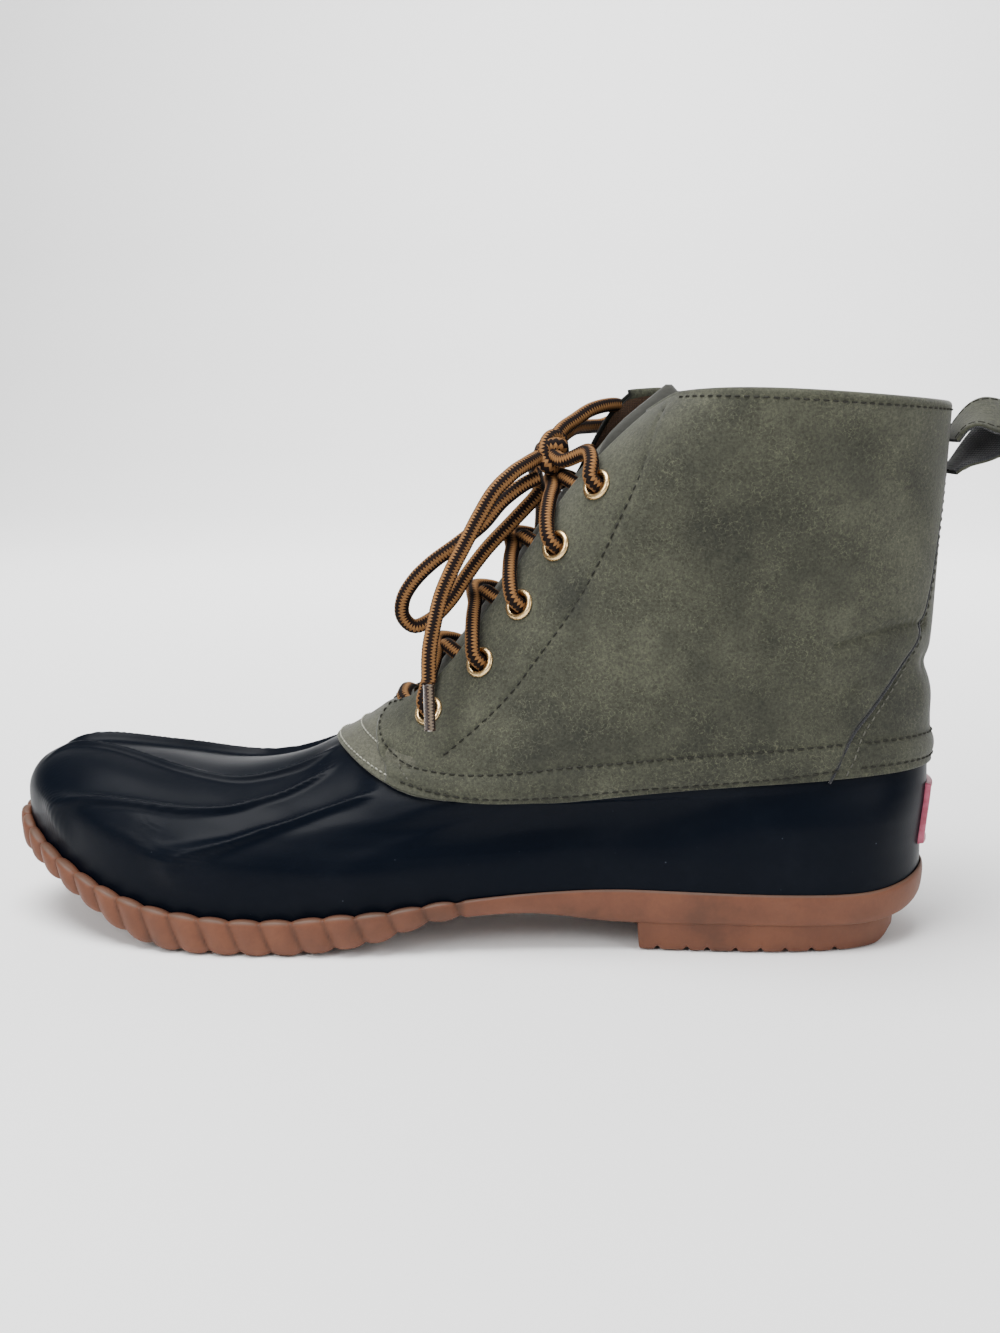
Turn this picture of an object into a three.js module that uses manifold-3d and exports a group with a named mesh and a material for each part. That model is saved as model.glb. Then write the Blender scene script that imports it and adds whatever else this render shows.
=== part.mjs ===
// A left lace-up duck boot: a moulded rubber shell on a gum sole, a leather upper, and laces in a bow.
// Units are millimetres. X runs from toe to heel, Y towards the inner side of the foot, Z up.
// The origin lies on the flat underside of the heel block.

import * as THREE from 'three';
import { mergeVertices } from 'three/addons/utils/BufferGeometryUtils.js';
import Module from 'manifold-3d';

const wasm = await Module();
wasm.setup();

// Length and widths of the sole
const bootLength = 286;
const originFromHeel = 55;
const heelWidth = 68;
const ballWidth = 99;

// Heights of the sole, shell and shaft
const heelBlockHeight = 8.5;
const soleThickness = 10;
const toeSpring = 23;
const vampHeight = 55;
const lineHeightSide = 44.5;
const lineHeightBack = 53.5;
const lineHeightFront = 56;
const collarHeight = 160;

// Plan of the shaft, measured forward from the back of the heel
const lineFront = 183;
const collarFront = 83;
const collarBack = -0.5;
const collarWidth = 77;

// Walls and clearances
const clearance = 0.3;
const leatherWall = 1.5;
const rubberWall = 2.4;
const tongueThickness = 2.5;
const insoleThickness = 4;
const foxingThickness = 3.5;
const heelLip = 0.8;

// Sole details. The heel's notches lie evenly about the origin, and the forefoot's start at a share
// of the length.
const blockInset = 1.2;
const blockFront = 88.5;
const blockRound = 10;
const blockSlant = 1;
const notchDepth = 1.6;
const notchWidth = 3.6;
const heelNotches = 8;
const heelNotchPitch = 7.6;
const forefootNotches = 10;
const forefootNotchPitch = 9.5;
const forefootNotchStart = 0.6;
const forefootFlat = 0.1;
const bottomUndercut = 1.5;
const edgeBelly = 0.4;

// Throat, eyelets and lace
const throatHalfGap = 12.5;
const throatBase = 9;
const throatRound = 0.5;
const throatFlare = 0.25;
const throatFlareFrom = 12;
const flangeTop = 8.85;
const flangeStep = 0.8;
const tongueBase = 8.95;
const tongueTop = 15.2;
const tongueCrown = 0.35;
const tongueHalfWidth = 23;
const tongueTaper = 0.85;
const eyeletSetback = 11;
const eyeletRadius = 4.75;
const eyeletBarrel = 3.4;
const eyeletHole = 2.9;
const eyeletHeight = 0.9;
const eyeletSides = 12;
const laceRadius = 2.2;
const laceStep = 1.5;

// Heel label and pull loop
const labelHalfTurn = 11;
const labelLow = 26;
const labelHigh = 45;
const labelThickness = 1;
const loopWidth = 20;
const loopThickness = 1.8;
const loopReach = 19;
const loopHeight = 149;

const degree = Math.PI / 180;
const outerSide = -1;
const innerSide = 1;

function table(columns, rows) {
  return rows.map(row => Object.fromEntries(columns.map((name, index) => [name, row[index]])));
}

// Plan of the sole by the turn from the heel. Widths are shares of the width there.
const planTable = table(
  ['place', 'outer', 'inner'],
  [
    [0, 0, 0],
    [15, 0.238, 0.238],
    [30, 0.422, 0.415],
    [45, 0.497, 0.479],
    [60, 0.509, 0.471],
    [75, 0.487, 0.418],
    [90, 0.448, 0.368],
    [105, 0.469, 0.437],
    [120, 0.481, 0.514],
    [135, 0.407, 0.485],
    [150, 0.27, 0.383],
    [165, 0.115, 0.243],
    [180, -0.04, 0.04],
  ],
);

// Underside and edge of the sole by the share of the length from the heel.
// The underside is a share of the heel block's height plus a share of the toe spring.
// The edge's thickness is a share of the sole's, and the rim stands above the footbed by its own share.
const soleTable = table(
  ['place', 'shank', 'spring', 'thickness', 'rim', 'foxing'],
  [
    [0.0, 1.5, 0, 0.94, 0.08, 0],
    [0.03, 1.15, 0, 0.98, 0.08, 0],
    [0.08, 1.0, 0, 0.96, 0.08, 0],
    [0.2, 1.0, 0, 0.98, 0.08, 0],
    [0.33, 1.02, 0, 1.0, 0.08, 0.05],
    [0.42, 1.33, 0, 0.62, 0.1, 0.15],
    [0.51, 1.08, 0, 0.55, 0.15, 0.6],
    [0.57, 0.44, 0, 0.86, 0.3, 0.9],
    [0.62, 0.14, 0, 1.02, 0.42, 1],
    [0.66, 0, 0, 1.02, 0.45, 1],
    [0.72, 0, 0, 1.02, 0.45, 1],
    [0.8, 0, 0.03, 1.12, 0.45, 1],
    [0.84, 0, 0.16, 1.02, 0.42, 1],
    [0.88, 0, 0.39, 0.8, 0.4, 1],
    [0.92, 0, 0.61, 0.7, 0.38, 1],
    [0.96, 0, 0.82, 0.72, 0.36, 0.9],
    [1.0, 0, 1.0, 0.92, 0.36, 0.7],
  ],
);

// Rings of the last up to the leather's lower line. Setback is the share of the way from the toe's tip
// back to that line in front, frontRise a share of the vamp's height, and rise the share of the way
// from the rim to that line at the sides and back. Lean is a share of the length.
// Heel and ball scale the plan's width there, and oval blends it into an oval of the collar's width.
const shellRings = table(
  ['setback', 'frontRise', 'rise', 'lean', 'heel', 'ball', 'oval', 'ovalWidth'],
  [
    [0.039, 0.49, 0, 0, 1, 1, 0, 0.9],
    [0.039, 0.6, 0.04, 0, 1, 1, 0, 0.9],
    [0.031, 0.76, 0.25, 0.004, 0.99, 0.94, 0, 0.9],
    [0.094, 0.91, 0.38, 0.003, 0.99, 0.91, 0, 0.9],
    [0.233, 0.97, 0.5, 0.002, 0.99, 0.85, 0.02, 0.9],
    [0.439, 0.925, 0.62, 0.001, 0.99, 0.8, 0.08, 0.9],
    [0.653, 0.865, 0.76, 0, 0.98, 0.78, 0.2, 0.9],
    [0.833, 0.9, 0.89, 0, 0.97, 0.79, 0.35, 0.9],
  ],
);
const rimRings = 2;

// Rings of the shaft from the leather's lower line to the collar, as shares of the way between them.
// Lean is the share of the collar's depth that the back lies forward of the heel.
const shaftRings = table(
  ['forward', 'frontRise', 'backRise', 'sideRise', 'lean', 'oval', 'ovalWidth'],
  [
    [0, 0, 0, 0, 0.002, 0.5, 0.92],
    [0.17, 0.1, 0.1, 0.105, 0.012, 0.72, 0.9],
    [0.347, 0.253, 0.23, 0.246, 0.03, 0.95, 0.88],
    [0.48, 0.425, 0.4, 0.421, 0.018, 1, 0.87],
    [0.604, 0.598, 0.575, 0.596, 0.01, 1, 0.88],
    [0.73, 0.77, 0.74, 0.763, 0.002, 1, 0.91],
    [0.86, 0.895, 0.88, 0.904, -0.003, 1, 0.95],
    [1, 1, 0.991, 1.031, -0.006, 1, 1],
  ],
);
const lineRing = shellRings.length;
const collarRing = lineRing + shaftRings.length - 1;
const lineHeelScale = 0.96;
const lineBallScale = 0.8;
const ovalPower = 0.92;
const ovalEgg = 0.1;
const backSharpness = 1.6;
const frontSharpness = 5;

// Where the heel's width gives way to the ball's, as shares of the length, on the sole and on the last
const soleWaist = [0.3, 0.62];
const lastWaist = [0.2, 0.6];

// Share of a row's way from one table row to the next, smooth through all of them
function along(rows, column, place) {
  const last = rows.length - 1;
  if (place <= rows[0].place) return rows[0][column];
  if (place >= rows[last].place) return rows[last][column];
  let index = 0;
  while (rows[index + 1].place < place) index += 1;
  const slope = knot => {
    const before = rows[Math.max(knot - 1, 0)];
    const after = rows[Math.min(knot + 1, last)];
    return (after[column] - before[column]) / (after.place - before.place);
  };
  const low = rows[index];
  const high = rows[index + 1];
  const step = high.place - low.place;
  const t = (place - low.place) / step;
  const rise = t * t * (3 - 2 * t);
  const leave = t * (1 - t) * (1 - t) * step * slope(index);
  const arrive = t * t * (1 - t) * step * slope(index + 1);
  return low[column] * (1 - rise) + high[column] * rise + leave - arrive;
}

function mix(from, to, share) {
  return from + (to - from) * share;
}

function smooth(low, high, value) {
  const share = Math.min(1, Math.max(0, (value - low) / (high - low)));
  return share * share * (3 - 2 * share);
}

// Sole heights at a distance forward from the heel
function soleBottom(forward) {
  const place = forward / bootLength;
  return along(soleTable, 'shank', place) * heelBlockHeight + along(soleTable, 'spring', place) * toeSpring;
}

// The underside, flat where the forefoot touches the floor
function soleUnderside(forward) {
  return Math.max(0, soleBottom(forward) - forefootFlat);
}

function soleTop(forward) {
  return soleBottom(forward) + along(soleTable, 'thickness', forward / bootLength) * soleThickness;
}

function soleFloor(forward) {
  return soleTop(forward) - along(soleTable, 'rim', forward / bootLength) * soleThickness;
}

// Points are [forward from the heel, sideways, up] until they are placed in the boot's frame.
function place([forward, sideways, up]) {
  return new THREE.Vector3(originFromHeel - forward, sideways, up);
}

function wrapTurn(turn) {
  if (turn > 180) return turn - 360;
  if (turn < -180) return turn + 360;
  return turn;
}

function planWidth(turn) {
  const ahead = (1 - Math.cos(turn * degree)) / 2;
  const width = mix(heelWidth, ballWidth, smooth(...soleWaist, ahead));
  return width * along(planTable, turn < 0 ? 'outer' : 'inner', Math.abs(turn));
}

// A point on the sole's outline, moved inwards by the inset
function planPoint(turn, inset) {
  const at = angle => {
    const wrapped = wrapTurn(angle);
    const forward = bootLength * (1 - Math.cos(wrapped * degree)) / 2;
    return [forward, Math.sign(wrapped) * planWidth(wrapped)];
  };
  const step = 0.5;
  const point = at(turn);
  const before = at(turn - step);
  const after = at(turn + step);
  const run = [after[0] - before[0], after[1] - before[1]];
  const size = Math.hypot(run[0], run[1]);
  return [point[0] + inset * run[1] / size, point[1] - inset * run[0] / size];
}

function rimThickness(turn) {
  const ahead = (1 - Math.cos(turn * degree)) / 2;
  return mix(heelLip, foxingThickness, along(soleTable, 'foxing', ahead));
}

const collarDepth = collarFront - collarBack;
const rings = [
  ...shellRings.map(row => ({
    front: mix(bootLength, lineFront, row.setback),
    frontHeight: row.frontRise * vampHeight,
    back: row.lean * bootLength,
    rise: row.rise,
    heel: row.heel,
    ball: row.ball,
    oval: row.oval,
    half: row.ovalWidth * collarWidth / 2,
  })),
  ...shaftRings.map(row => ({
    front: mix(lineFront, collarFront, row.forward),
    frontHeight: mix(lineHeightFront, collarHeight, row.frontRise),
    back: row.lean * collarDepth,
    backHeight: mix(lineHeightBack, collarHeight, row.backRise),
    sideHeight: mix(lineHeightSide, collarHeight, row.sideRise),
    heel: lineHeelScale,
    ball: lineBallScale,
    oval: row.oval,
    half: row.ovalWidth * collarWidth / 2,
  })),
];

// A point of one ring of the last. The turn is 0 at the back, -90 on the outer side and 180 in front.
function ringPoint(turn, index) {
  const ring = rings[index];
  const cosine = Math.cos(turn * degree);
  const ahead = (1 - cosine) / 2;
  if (index < rimRings) {
    const [forward, sideways] = planPoint(turn, rimThickness(turn) + clearance);
    const base = soleFloor(forward) + clearance;
    const lip = mix(soleTop(forward), lineHeightSide, ring.rise);
    return [forward, sideways, index === 0 ? base : lip];
  }
  const forward = mix(ring.back, ring.front, ahead);
  const side = turn < 0 ? outerSide : innerSide;
  const scale = mix(ring.heel, ring.ball, smooth(...lastWaist, ahead));
  const egg = 1 - ovalEgg * cosine;
  const sine = Math.max(0, Math.sin(Math.abs(turn) * degree));
  const oval = ring.half * egg * sine ** ovalPower;
  const width = mix(planWidth(turn) * scale - clearance * sine, oval, ring.oval);
  const backShare = (1 - ahead) ** backSharpness;
  const frontShare = ahead ** frontSharpness;
  let sideHeight = ring.sideHeight;
  let backHeight = ring.backHeight;
  if (index < lineRing) {
    sideHeight = mix(soleTop(forward), lineHeightSide, ring.rise);
    backHeight = mix(soleTop(forward), lineHeightBack, ring.rise);
  }
  const height = mix(mix(sideHeight, backHeight, backShare), ring.frontHeight, frontShare);
  return [forward, side * width, height];
}

// A point of the last between rings, smooth through them
function lastPoint(turn, level) {
  const wrapped = wrapTurn(turn);
  const low = Math.min(Math.max(Math.floor(level), 0), collarRing - 1);
  const t = level - low;
  const p1 = ringPoint(wrapped, low);
  const p2 = ringPoint(wrapped, low + 1);
  const p0 = low > 0 ? ringPoint(wrapped, low - 1) : p1;
  const p3 = low + 2 <= collarRing ? ringPoint(wrapped, low + 2) : p2;
  if (t > 1) return p2.map((value, axis) => value + (value - p1[axis]) * (t - 1));
  return p1.map((value, axis) => {
    const leave = (p2[axis] - p0[axis]) / (low > 0 ? 2 : 1);
    const arrive = (p3[axis] - value) / (low + 2 <= collarRing ? 2 : 1);
    const rise = t * t * (3 - 2 * t);
    return mix(value, p2[axis], rise) + t * (1 - t) * ((1 - t) * leave - t * arrive);
  });
}

function lastNormal(turn, level) {
  const turnStep = 0.6;
  const levelStep = 0.03;
  const a = place(lastPoint(turn - turnStep, level));
  const b = place(lastPoint(turn + turnStep, level));
  const c = place(lastPoint(turn, Math.max(level - levelStep, 0)));
  const d = place(lastPoint(turn, level + levelStep));
  return b.sub(a).cross(d.sub(c)).normalize();
}

// A point of the last moved out along its normal
function form(turn, level, offset) {
  return place(lastPoint(turn, level)).addScaledVector(lastNormal(turn, level), offset);
}

// Searches on the last narrow down by halves, this many times.
const halvings = 30;

// The turn at which a ring lies a distance across from its front centre, outer side negative
function turnAcross(across, level) {
  const side = across < 0 ? outerSide : innerSide;
  const centre = lastPoint(180, level)[1];
  let near = 180;
  let far = 90;
  for (let step = 0; step < halvings; step += 1) {
    const middle = (near + far) / 2;
    const reached = (lastPoint(side * middle, level)[1] - centre) * side;
    if (reached < Math.abs(across)) near = middle;
    else far = middle;
  }
  return side * (near + far) / 2;
}

function throatGap(level) {
  const open = Math.min(1, Math.max(0, (level - throatBase) / throatRound));
  return throatHalfGap * Math.sqrt(open) * (1 + throatFlare * smooth(throatFlareFrom, collarRing, level));
}

// Solids from grids

function addQuad(points, a, b, c, d) {
  for (const [p, q, r] of [[a, b, c], [a, c, d]]) {
    const flat = p.distanceTo(q) < 1e-4 || q.distanceTo(r) < 1e-4 || r.distanceTo(p) < 1e-4;
    if (!flat) points.push(p, q, r);
  }
}

function volumeOf(geometry) {
  const position = geometry.getAttribute('position');
  const index = geometry.index.array;
  const corner = number => new THREE.Vector3().fromBufferAttribute(position, index[number]);
  let sum = 0;
  for (let i = 0; i < index.length; i += 3) sum += corner(i).dot(corner(i + 1).cross(corner(i + 2)));
  return sum / 6;
}

// One closed mesh that faces out, with its shared points merged
function closed(geometry) {
  const bare = geometry.clone();
  bare.deleteAttribute('normal');
  bare.deleteAttribute('uv');
  const merged = mergeVertices(bare, 1e-4);
  const kept = [];
  const index = merged.index.array;
  for (let i = 0; i < index.length; i += 3) {
    const [a, b, c] = [index[i], index[i + 1], index[i + 2]];
    if (a !== b && b !== c && c !== a) kept.push(a, b, c);
  }
  merged.setIndex(kept);
  if (volumeOf(merged) < 0) merged.setIndex(kept.reverse());
  return merged;
}

function fromPoints(points) {
  return closed(new THREE.BufferGeometry().setFromPoints(points));
}

// A wall between an outer and an inner grid of points. Rows run up, columns round.
// Ends of a row are closed by an edge only from the row where the wall opens.
function wall(outer, inner, openFrom) {
  const points = [];
  const rows = outer.length;
  const columns = outer[0].length;
  for (let row = 0; row + 1 < rows; row += 1) {
    for (let column = 0; column + 1 < columns; column += 1) {
      const next = column + 1;
      addQuad(points, outer[row][column], outer[row][next], outer[row + 1][next], outer[row + 1][column]);
      addQuad(points, inner[row][next], inner[row][column], inner[row + 1][column], inner[row + 1][next]);
    }
    if (row >= openFrom) {
      const end = columns - 1;
      addQuad(points, inner[row][0], outer[row][0], outer[row + 1][0], inner[row + 1][0]);
      addQuad(points, outer[row][end], inner[row][end], inner[row + 1][end], outer[row + 1][end]);
    }
  }
  const top = rows - 1;
  for (let column = 0; column + 1 < columns; column += 1) {
    const next = column + 1;
    addQuad(points, inner[0][column], inner[0][next], outer[0][next], outer[0][column]);
    addQuad(points, outer[top][column], outer[top][next], inner[top][next], inner[top][column]);
  }
  return fromPoints(points);
}

// A slab whose outline is given by rings of points, closed across at the lowest and highest ring
function slab(ringList) {
  const points = [];
  const count = ringList[0].length;
  for (let level = 0; level + 1 < ringList.length; level += 1) {
    for (let i = 0; i < count; i += 1) {
      const next = (i + 1) % count;
      const low = ringList[level];
      const high = ringList[level + 1];
      addQuad(points, low[i], low[next], high[next], high[i]);
    }
  }
  const half = count / 2;
  const cap = (ring, flip) => {
    for (let i = 0; i < half; i += 1) {
      const a = ring[i];
      const b = ring[i + 1];
      const c = ring[(count - i - 1) % count];
      const d = ring[(count - i) % count];
      if (flip) addQuad(points, d, c, b, a);
      else addQuad(points, a, b, c, d);
    }
  };
  cap(ringList[0], true);
  cap(ringList[ringList.length - 1], false);
  return fromPoints(points);
}

// Manifold solids, used only to join and cut
function toManifold(geometry) {
  const vertProperties = new Float32Array(geometry.getAttribute('position').array);
  const triVerts = new Uint32Array(geometry.index.array);
  return new wasm.Manifold(new wasm.Mesh({ numProp: 3, vertProperties, triVerts }));
}

function toGeometry(solid) {
  const mesh = solid.getMesh();
  const geometry = new THREE.BufferGeometry();
  geometry.setAttribute('position', new THREE.BufferAttribute(new Float32Array(mesh.vertProperties), 3));
  geometry.setIndex(new THREE.BufferAttribute(new Uint32Array(mesh.triVerts), 1));
  return geometry;
}

function placed(geometry, position, quaternion) {
  const matrix = new THREE.Matrix4().compose(position, quaternion, new THREE.Vector3(1, 1, 1));
  return closed(geometry.clone().applyMatrix4(matrix));
}

function range(count) {
  return Array.from({ length: count }, (_, index) => index);
}

const boot = new THREE.Group();

function material(color, roughness, metalness = 0) {
  return new THREE.MeshStandardMaterial({ color, roughness, metalness });
}

const gum = material(0xa87058, 0.62);
const rubber = material(0x141b25, 0.42);
const leather = material(0x5f5f52, 0.85);
const lining = material(0x6b5340, 0.95);
const gold = material(0xc8a870, 0.28, 1);
const braid = material(0xa8753f, 0.8);
const labelRubber = material(0x7d2038, 0.5);
const clearTip = material(0xc9c2b4, 0.25);

function add(name, geometry, finish) {
  const mesh = new THREE.Mesh(geometry, finish);
  mesh.name = name;
  boot.add(mesh);
  return mesh;
}

// Sole and shell share their columns, so that the shell's foot follows the rim all the way round.
const footColumns = 60;

// Sole: a slab with toe spring and arch, a rim round the shell, a heel block, and notches across it

function soleRing(inset, height) {
  return range(footColumns).map(column => {
    const turn = 360 * column / footColumns;
    const [forward, sideways] = planPoint(wrapTurn(turn), inset(wrapTurn(turn)));
    return place([forward, sideways, height(forward)]);
  });
}

// A cutter for one notch straight across the sole, in line with the underside there
function notch(forward) {
  const bottomAt = at => (at < blockFront ? 0 : soleUnderside(at));
  const slope = (bottomAt(forward + notchWidth / 2) - bottomAt(forward - notchWidth / 2)) / notchWidth;
  const outline = new THREE.Shape();
  outline.moveTo(-notchWidth / 2, -clearance);
  outline.lineTo(notchWidth / 2, -clearance);
  outline.lineTo(0, notchDepth);
  const prism = new THREE.ExtrudeGeometry(outline, { depth: 2 * ballWidth, bevelEnabled: false });
  prism.translate(0, 0, -ballWidth);
  const turn = new THREE.Quaternion().setFromAxisAngle(new THREE.Vector3(1, 0, 0), Math.PI / 2);
  const tilt = new THREE.Quaternion().setFromAxisAngle(new THREE.Vector3(0, 1, 0), Math.atan(slope));
  return toManifold(placed(prism, place([forward, 0, bottomAt(forward)]), tilt.multiply(turn)));
}

// The heel block stands under the sole and reaches into it. Its back is rounded and slants in.
function makeHeelBlock() {
  const columns = 36;
  const lastTurn = Math.acos(1 - 2 * blockFront / bootLength) / degree;
  const ring = (height, slant) => range(columns + 1).map(column => {
    const turn = mix(-lastTurn, lastTurn, column / columns);
    const rear = slant + blockRound * (1 - Math.abs(turn) / lastTurn) ** 3;
    return place([...planPoint(turn, blockInset + rear), height]);
  });
  const low = ring(0, blockSlant);
  const high = ring(heelBlockHeight + soleThickness / 10, 0);
  const points = [];
  for (let i = 0; i < columns; i += 1) {
    addQuad(points, low[i], low[i + 1], high[i + 1], high[i]);
  }
  addQuad(points, low[columns], low[0], high[0], high[columns]);
  for (let i = 0; i < columns / 2; i += 1) {
    const j = columns - i;
    addQuad(points, low[j], low[j - 1], low[i + 1], low[i]);
    addQuad(points, high[i], high[i + 1], high[j - 1], high[j]);
  }
  return toManifold(fromPoints(points));
}

function makeSole() {
  const rings = [
    soleRing(() => bottomUndercut, soleUnderside),
    soleRing(() => bottomUndercut / 3, forward => mix(soleBottom(forward), soleTop(forward), edgeBelly)),
    soleRing(() => 0, soleTop),
    soleRing(rimThickness, soleTop),
    soleRing(rimThickness, soleFloor),
  ];
  let solid = toManifold(slab(rings)).add(makeHeelBlock());
  for (const i of range(heelNotches)) {
    solid = solid.subtract(notch(originFromHeel + heelNotchPitch * (heelNotches / 2 - i - 0.5)));
  }
  for (const i of range(forefootNotches)) {
    solid = solid.subtract(notch(forefootNotchStart * bootLength + forefootNotchPitch * i));
  }
  return closed(toGeometry(solid));
}

// Shell: the rubber wall from the footbed to its flange, which steps in behind the leather at its line
const flangeSlope = 0.08;
const shellLevels = [...range(lineRing), lineRing - flangeSlope, lineRing, flangeTop];

function formGrid(levels, columns, offset, ends) {
  return levels.map(level => {
    const [from, to] = ends(level);
    const out = offset(level);
    return range(columns + 1).map(column => form(mix(from, to, column / columns), level, out));
  });
}

function makeShell() {
  const ends = () => [-180, 180];
  const outer = formGrid(shellLevels, footColumns, level => (level < lineRing ? 0 : -flangeStep), ends);
  const inner = formGrid(shellLevels, footColumns, () => -rubberWall, ends);
  return wall(outer, inner, shellLevels.length);
}

// Upper: the leather wall from its line on the shell to the collar, open down the throat
const upperColumns = 44;
const upperLevels = [
  lineRing, 8.5, throatBase, 9.06, 9.2, throatBase + throatRound, 9.9, 10.5, 11.2, 12, 12.7, 13.4, 14.2,
  collarRing,
];

function throatEnds(level) {
  const gap = throatGap(level);
  if (gap === 0) return [-180, 180];
  return [turnAcross(-gap, level), turnAcross(gap, level)];
}

// Eyelets: their levels up the throat, and the point a set distance back from its edge
const eyeletLevels = [9.3, 10.22, 11.15, 12.08, 13.05];

function eyeletTurn(level, side) {
  const [outerEnd, innerEnd] = throatEnds(Math.max(level, throatBase + throatRound));
  let turn = side < 0 ? outerEnd : innerEnd;
  let walked = 0;
  const step = 0.25;
  while (walked < eyeletSetback) {
    const here = form(turn, level, 0);
    turn -= side * step;
    walked += form(turn, level, 0).distanceTo(here);
  }
  return turn;
}

const eyelets = eyeletLevels.flatMap((level, index) => [outerSide, innerSide].map(side => {
  const turn = eyeletTurn(level, side);
  return { index, side, turn, level, normal: lastNormal(turn, level) };
}));

function eyeletPlace(eyelet, offset) {
  const position = form(eyelet.turn, eyelet.level, clearance + leatherWall + offset);
  const quaternion = new THREE.Quaternion().setFromUnitVectors(new THREE.Vector3(0, 1, 0), eyelet.normal);
  return { position, quaternion };
}

function makeUpper() {
  const outer = formGrid(upperLevels, upperColumns, () => clearance + leatherWall, throatEnds);
  const inner = formGrid(upperLevels, upperColumns, () => clearance, throatEnds);
  let solid = toManifold(wall(outer, inner, upperLevels.indexOf(throatBase)));
  const holeRadius = eyeletBarrel + clearance;
  const hole = new THREE.CylinderGeometry(holeRadius, holeRadius, 6 * leatherWall, eyeletSides);
  for (const eyelet of eyelets) {
    const { position, quaternion } = eyeletPlace(eyelet, -leatherWall / 2);
    solid = solid.subtract(toManifold(placed(hole, position, quaternion)));
  }
  return closed(toGeometry(solid));
}

function makeEyelet() {
  const base = -leatherWall - clearance;
  const profile = [
    [eyeletHole, base],
    [eyeletBarrel, base],
    [eyeletBarrel, 0],
    [eyeletRadius, 0],
    [(eyeletRadius + eyeletBarrel) / 2, eyeletHeight],
    [eyeletHole, eyeletHeight],
    [eyeletHole, base],
  ].map(([radius, height]) => new THREE.Vector2(radius, height));
  return closed(new THREE.LatheGeometry(profile, eyeletSides));
}

// Tongue: a padded leaf under the throat, narrower at its base and rounded at its top
function makeTongue() {
  const rows = 10;
  const columns = 10;
  const grid = offset => range(rows + 1).map(row => {
    const share = row / rows;
    return range(columns + 1).map(column => {
      const across = 2 * column / columns - 1;
      const level = mix(tongueBase, tongueTop - tongueCrown * across ** 4, share);
      const half = tongueHalfWidth * mix(tongueTaper, 1, share);
      return form(turnAcross(across * half, level), level, offset);
    });
  });
  return wall(grid(-2 * clearance), grid(-2 * clearance - tongueThickness), 0);
}

// Insole: a slab on the footbed inside the shell
function makeInsole() {
  const inset = turn => rimThickness(turn) + 2 * clearance + rubberWall;
  return slab([
    soleRing(inset, forward => soleFloor(forward) + clearance),
    soleRing(inset, forward => soleFloor(forward) + clearance + insoleThickness),
  ]);
}

// Heel label: a thin patch on the back of the shell
function levelAtHeight(turn, height) {
  let low = 1;
  let high = collarRing;
  for (let step = 0; step < halvings; step += 1) {
    const middle = (low + high) / 2;
    if (lastPoint(turn, middle)[2] < height) low = middle;
    else high = middle;
  }
  return (low + high) / 2;
}

function makeLabel() {
  const rows = 4;
  const columns = 8;
  const grid = offset => range(rows + 1).map(row => range(columns + 1).map(column => {
    const turn = mix(-labelHalfTurn, labelHalfTurn, column / columns);
    const height = mix(labelLow, labelHigh, row / rows);
    return form(turn, levelAtHeight(turn, height), offset);
  }));
  return wall(grid(clearance + labelThickness), grid(clearance), 0);
}

// Pull loop: a strap sewn to the back of the collar at both ends, standing out and up.
// Its middle line is given outwards and upwards as shares of its reach.
const loopTable = table(
  ['out', 'up'],
  [
    [0, 0],
    [0.16, 0.24],
    [0.36, 0.4],
    [0.62, 0.42],
    [0.88, 0.34],
    [1, 0.22],
    [0.88, 0.12],
    [0.62, 0],
    [0.3, -0.22],
    [0, -0.48],
  ],
);

function makePullLoop() {
  const rootLevel = levelAtHeight(0, loopHeight);
  const stand = 2 * clearance + leatherWall + loopThickness / 2;
  const root = form(0, rootLevel, stand);
  const lowLevel = levelAtHeight(0, loopHeight + loopReach * loopTable[loopTable.length - 1].up);
  const lean = form(0, lowLevel, stand).x - root.x;
  const middle = new THREE.CatmullRomCurve3(loopTable.map(({ out, up }) => {
    const back = up < 0 ? lean * up / loopTable[loopTable.length - 1].up : 0;
    return new THREE.Vector3(out * loopReach + back, up * loopReach, 0);
  }));
  const steps = 20;
  const edge = side => range(steps + 1).map(step => {
    const point = middle.getPoint(step / steps);
    const run = middle.getTangent(step / steps);
    const across = new THREE.Vector3(-run.y, run.x, 0).multiplyScalar(side * loopThickness / 2);
    return new THREE.Vector2(point.x + across.x, point.y + across.y);
  });
  const outline = new THREE.Shape([...edge(1), ...edge(-1).reverse()]);
  const strap = new THREE.ExtrudeGeometry(outline, { depth: loopWidth, bevelEnabled: false });
  strap.translate(0, 0, -loopWidth / 2);
  const upright = new THREE.Quaternion().setFromAxisAngle(new THREE.Vector3(1, 0, 0), Math.PI / 2);
  return placed(strap, root, upright);
}

// Lace: a round cord swept along points
function cord(points, radius = laceRadius) {
  const curve = new THREE.CatmullRomCurve3(points, false, 'centripetal');
  const steps = Math.ceil(curve.getLength() / (laceStep * 2 * radius));
  const section = new THREE.Shape();
  const sides = 8;
  for (const i of range(sides)) {
    const angle = 2 * Math.PI * i / sides;
    const [x, y] = [radius * Math.cos(angle), radius * Math.sin(angle)];
    if (i === 0) section.moveTo(x, y);
    else section.lineTo(x, y);
  }
  return closed(new THREE.ExtrudeGeometry(section, { steps, bevelEnabled: false, extrudePath: curve }));
}

const leatherTop = clearance + leatherWall;
const overEyelet = leatherTop + eyeletHeight + 2 * clearance + laceRadius;
const overEdge = leatherTop + 4 * clearance + laceRadius;
const onTongue = laceRadius + 2 * clearance;

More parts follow.
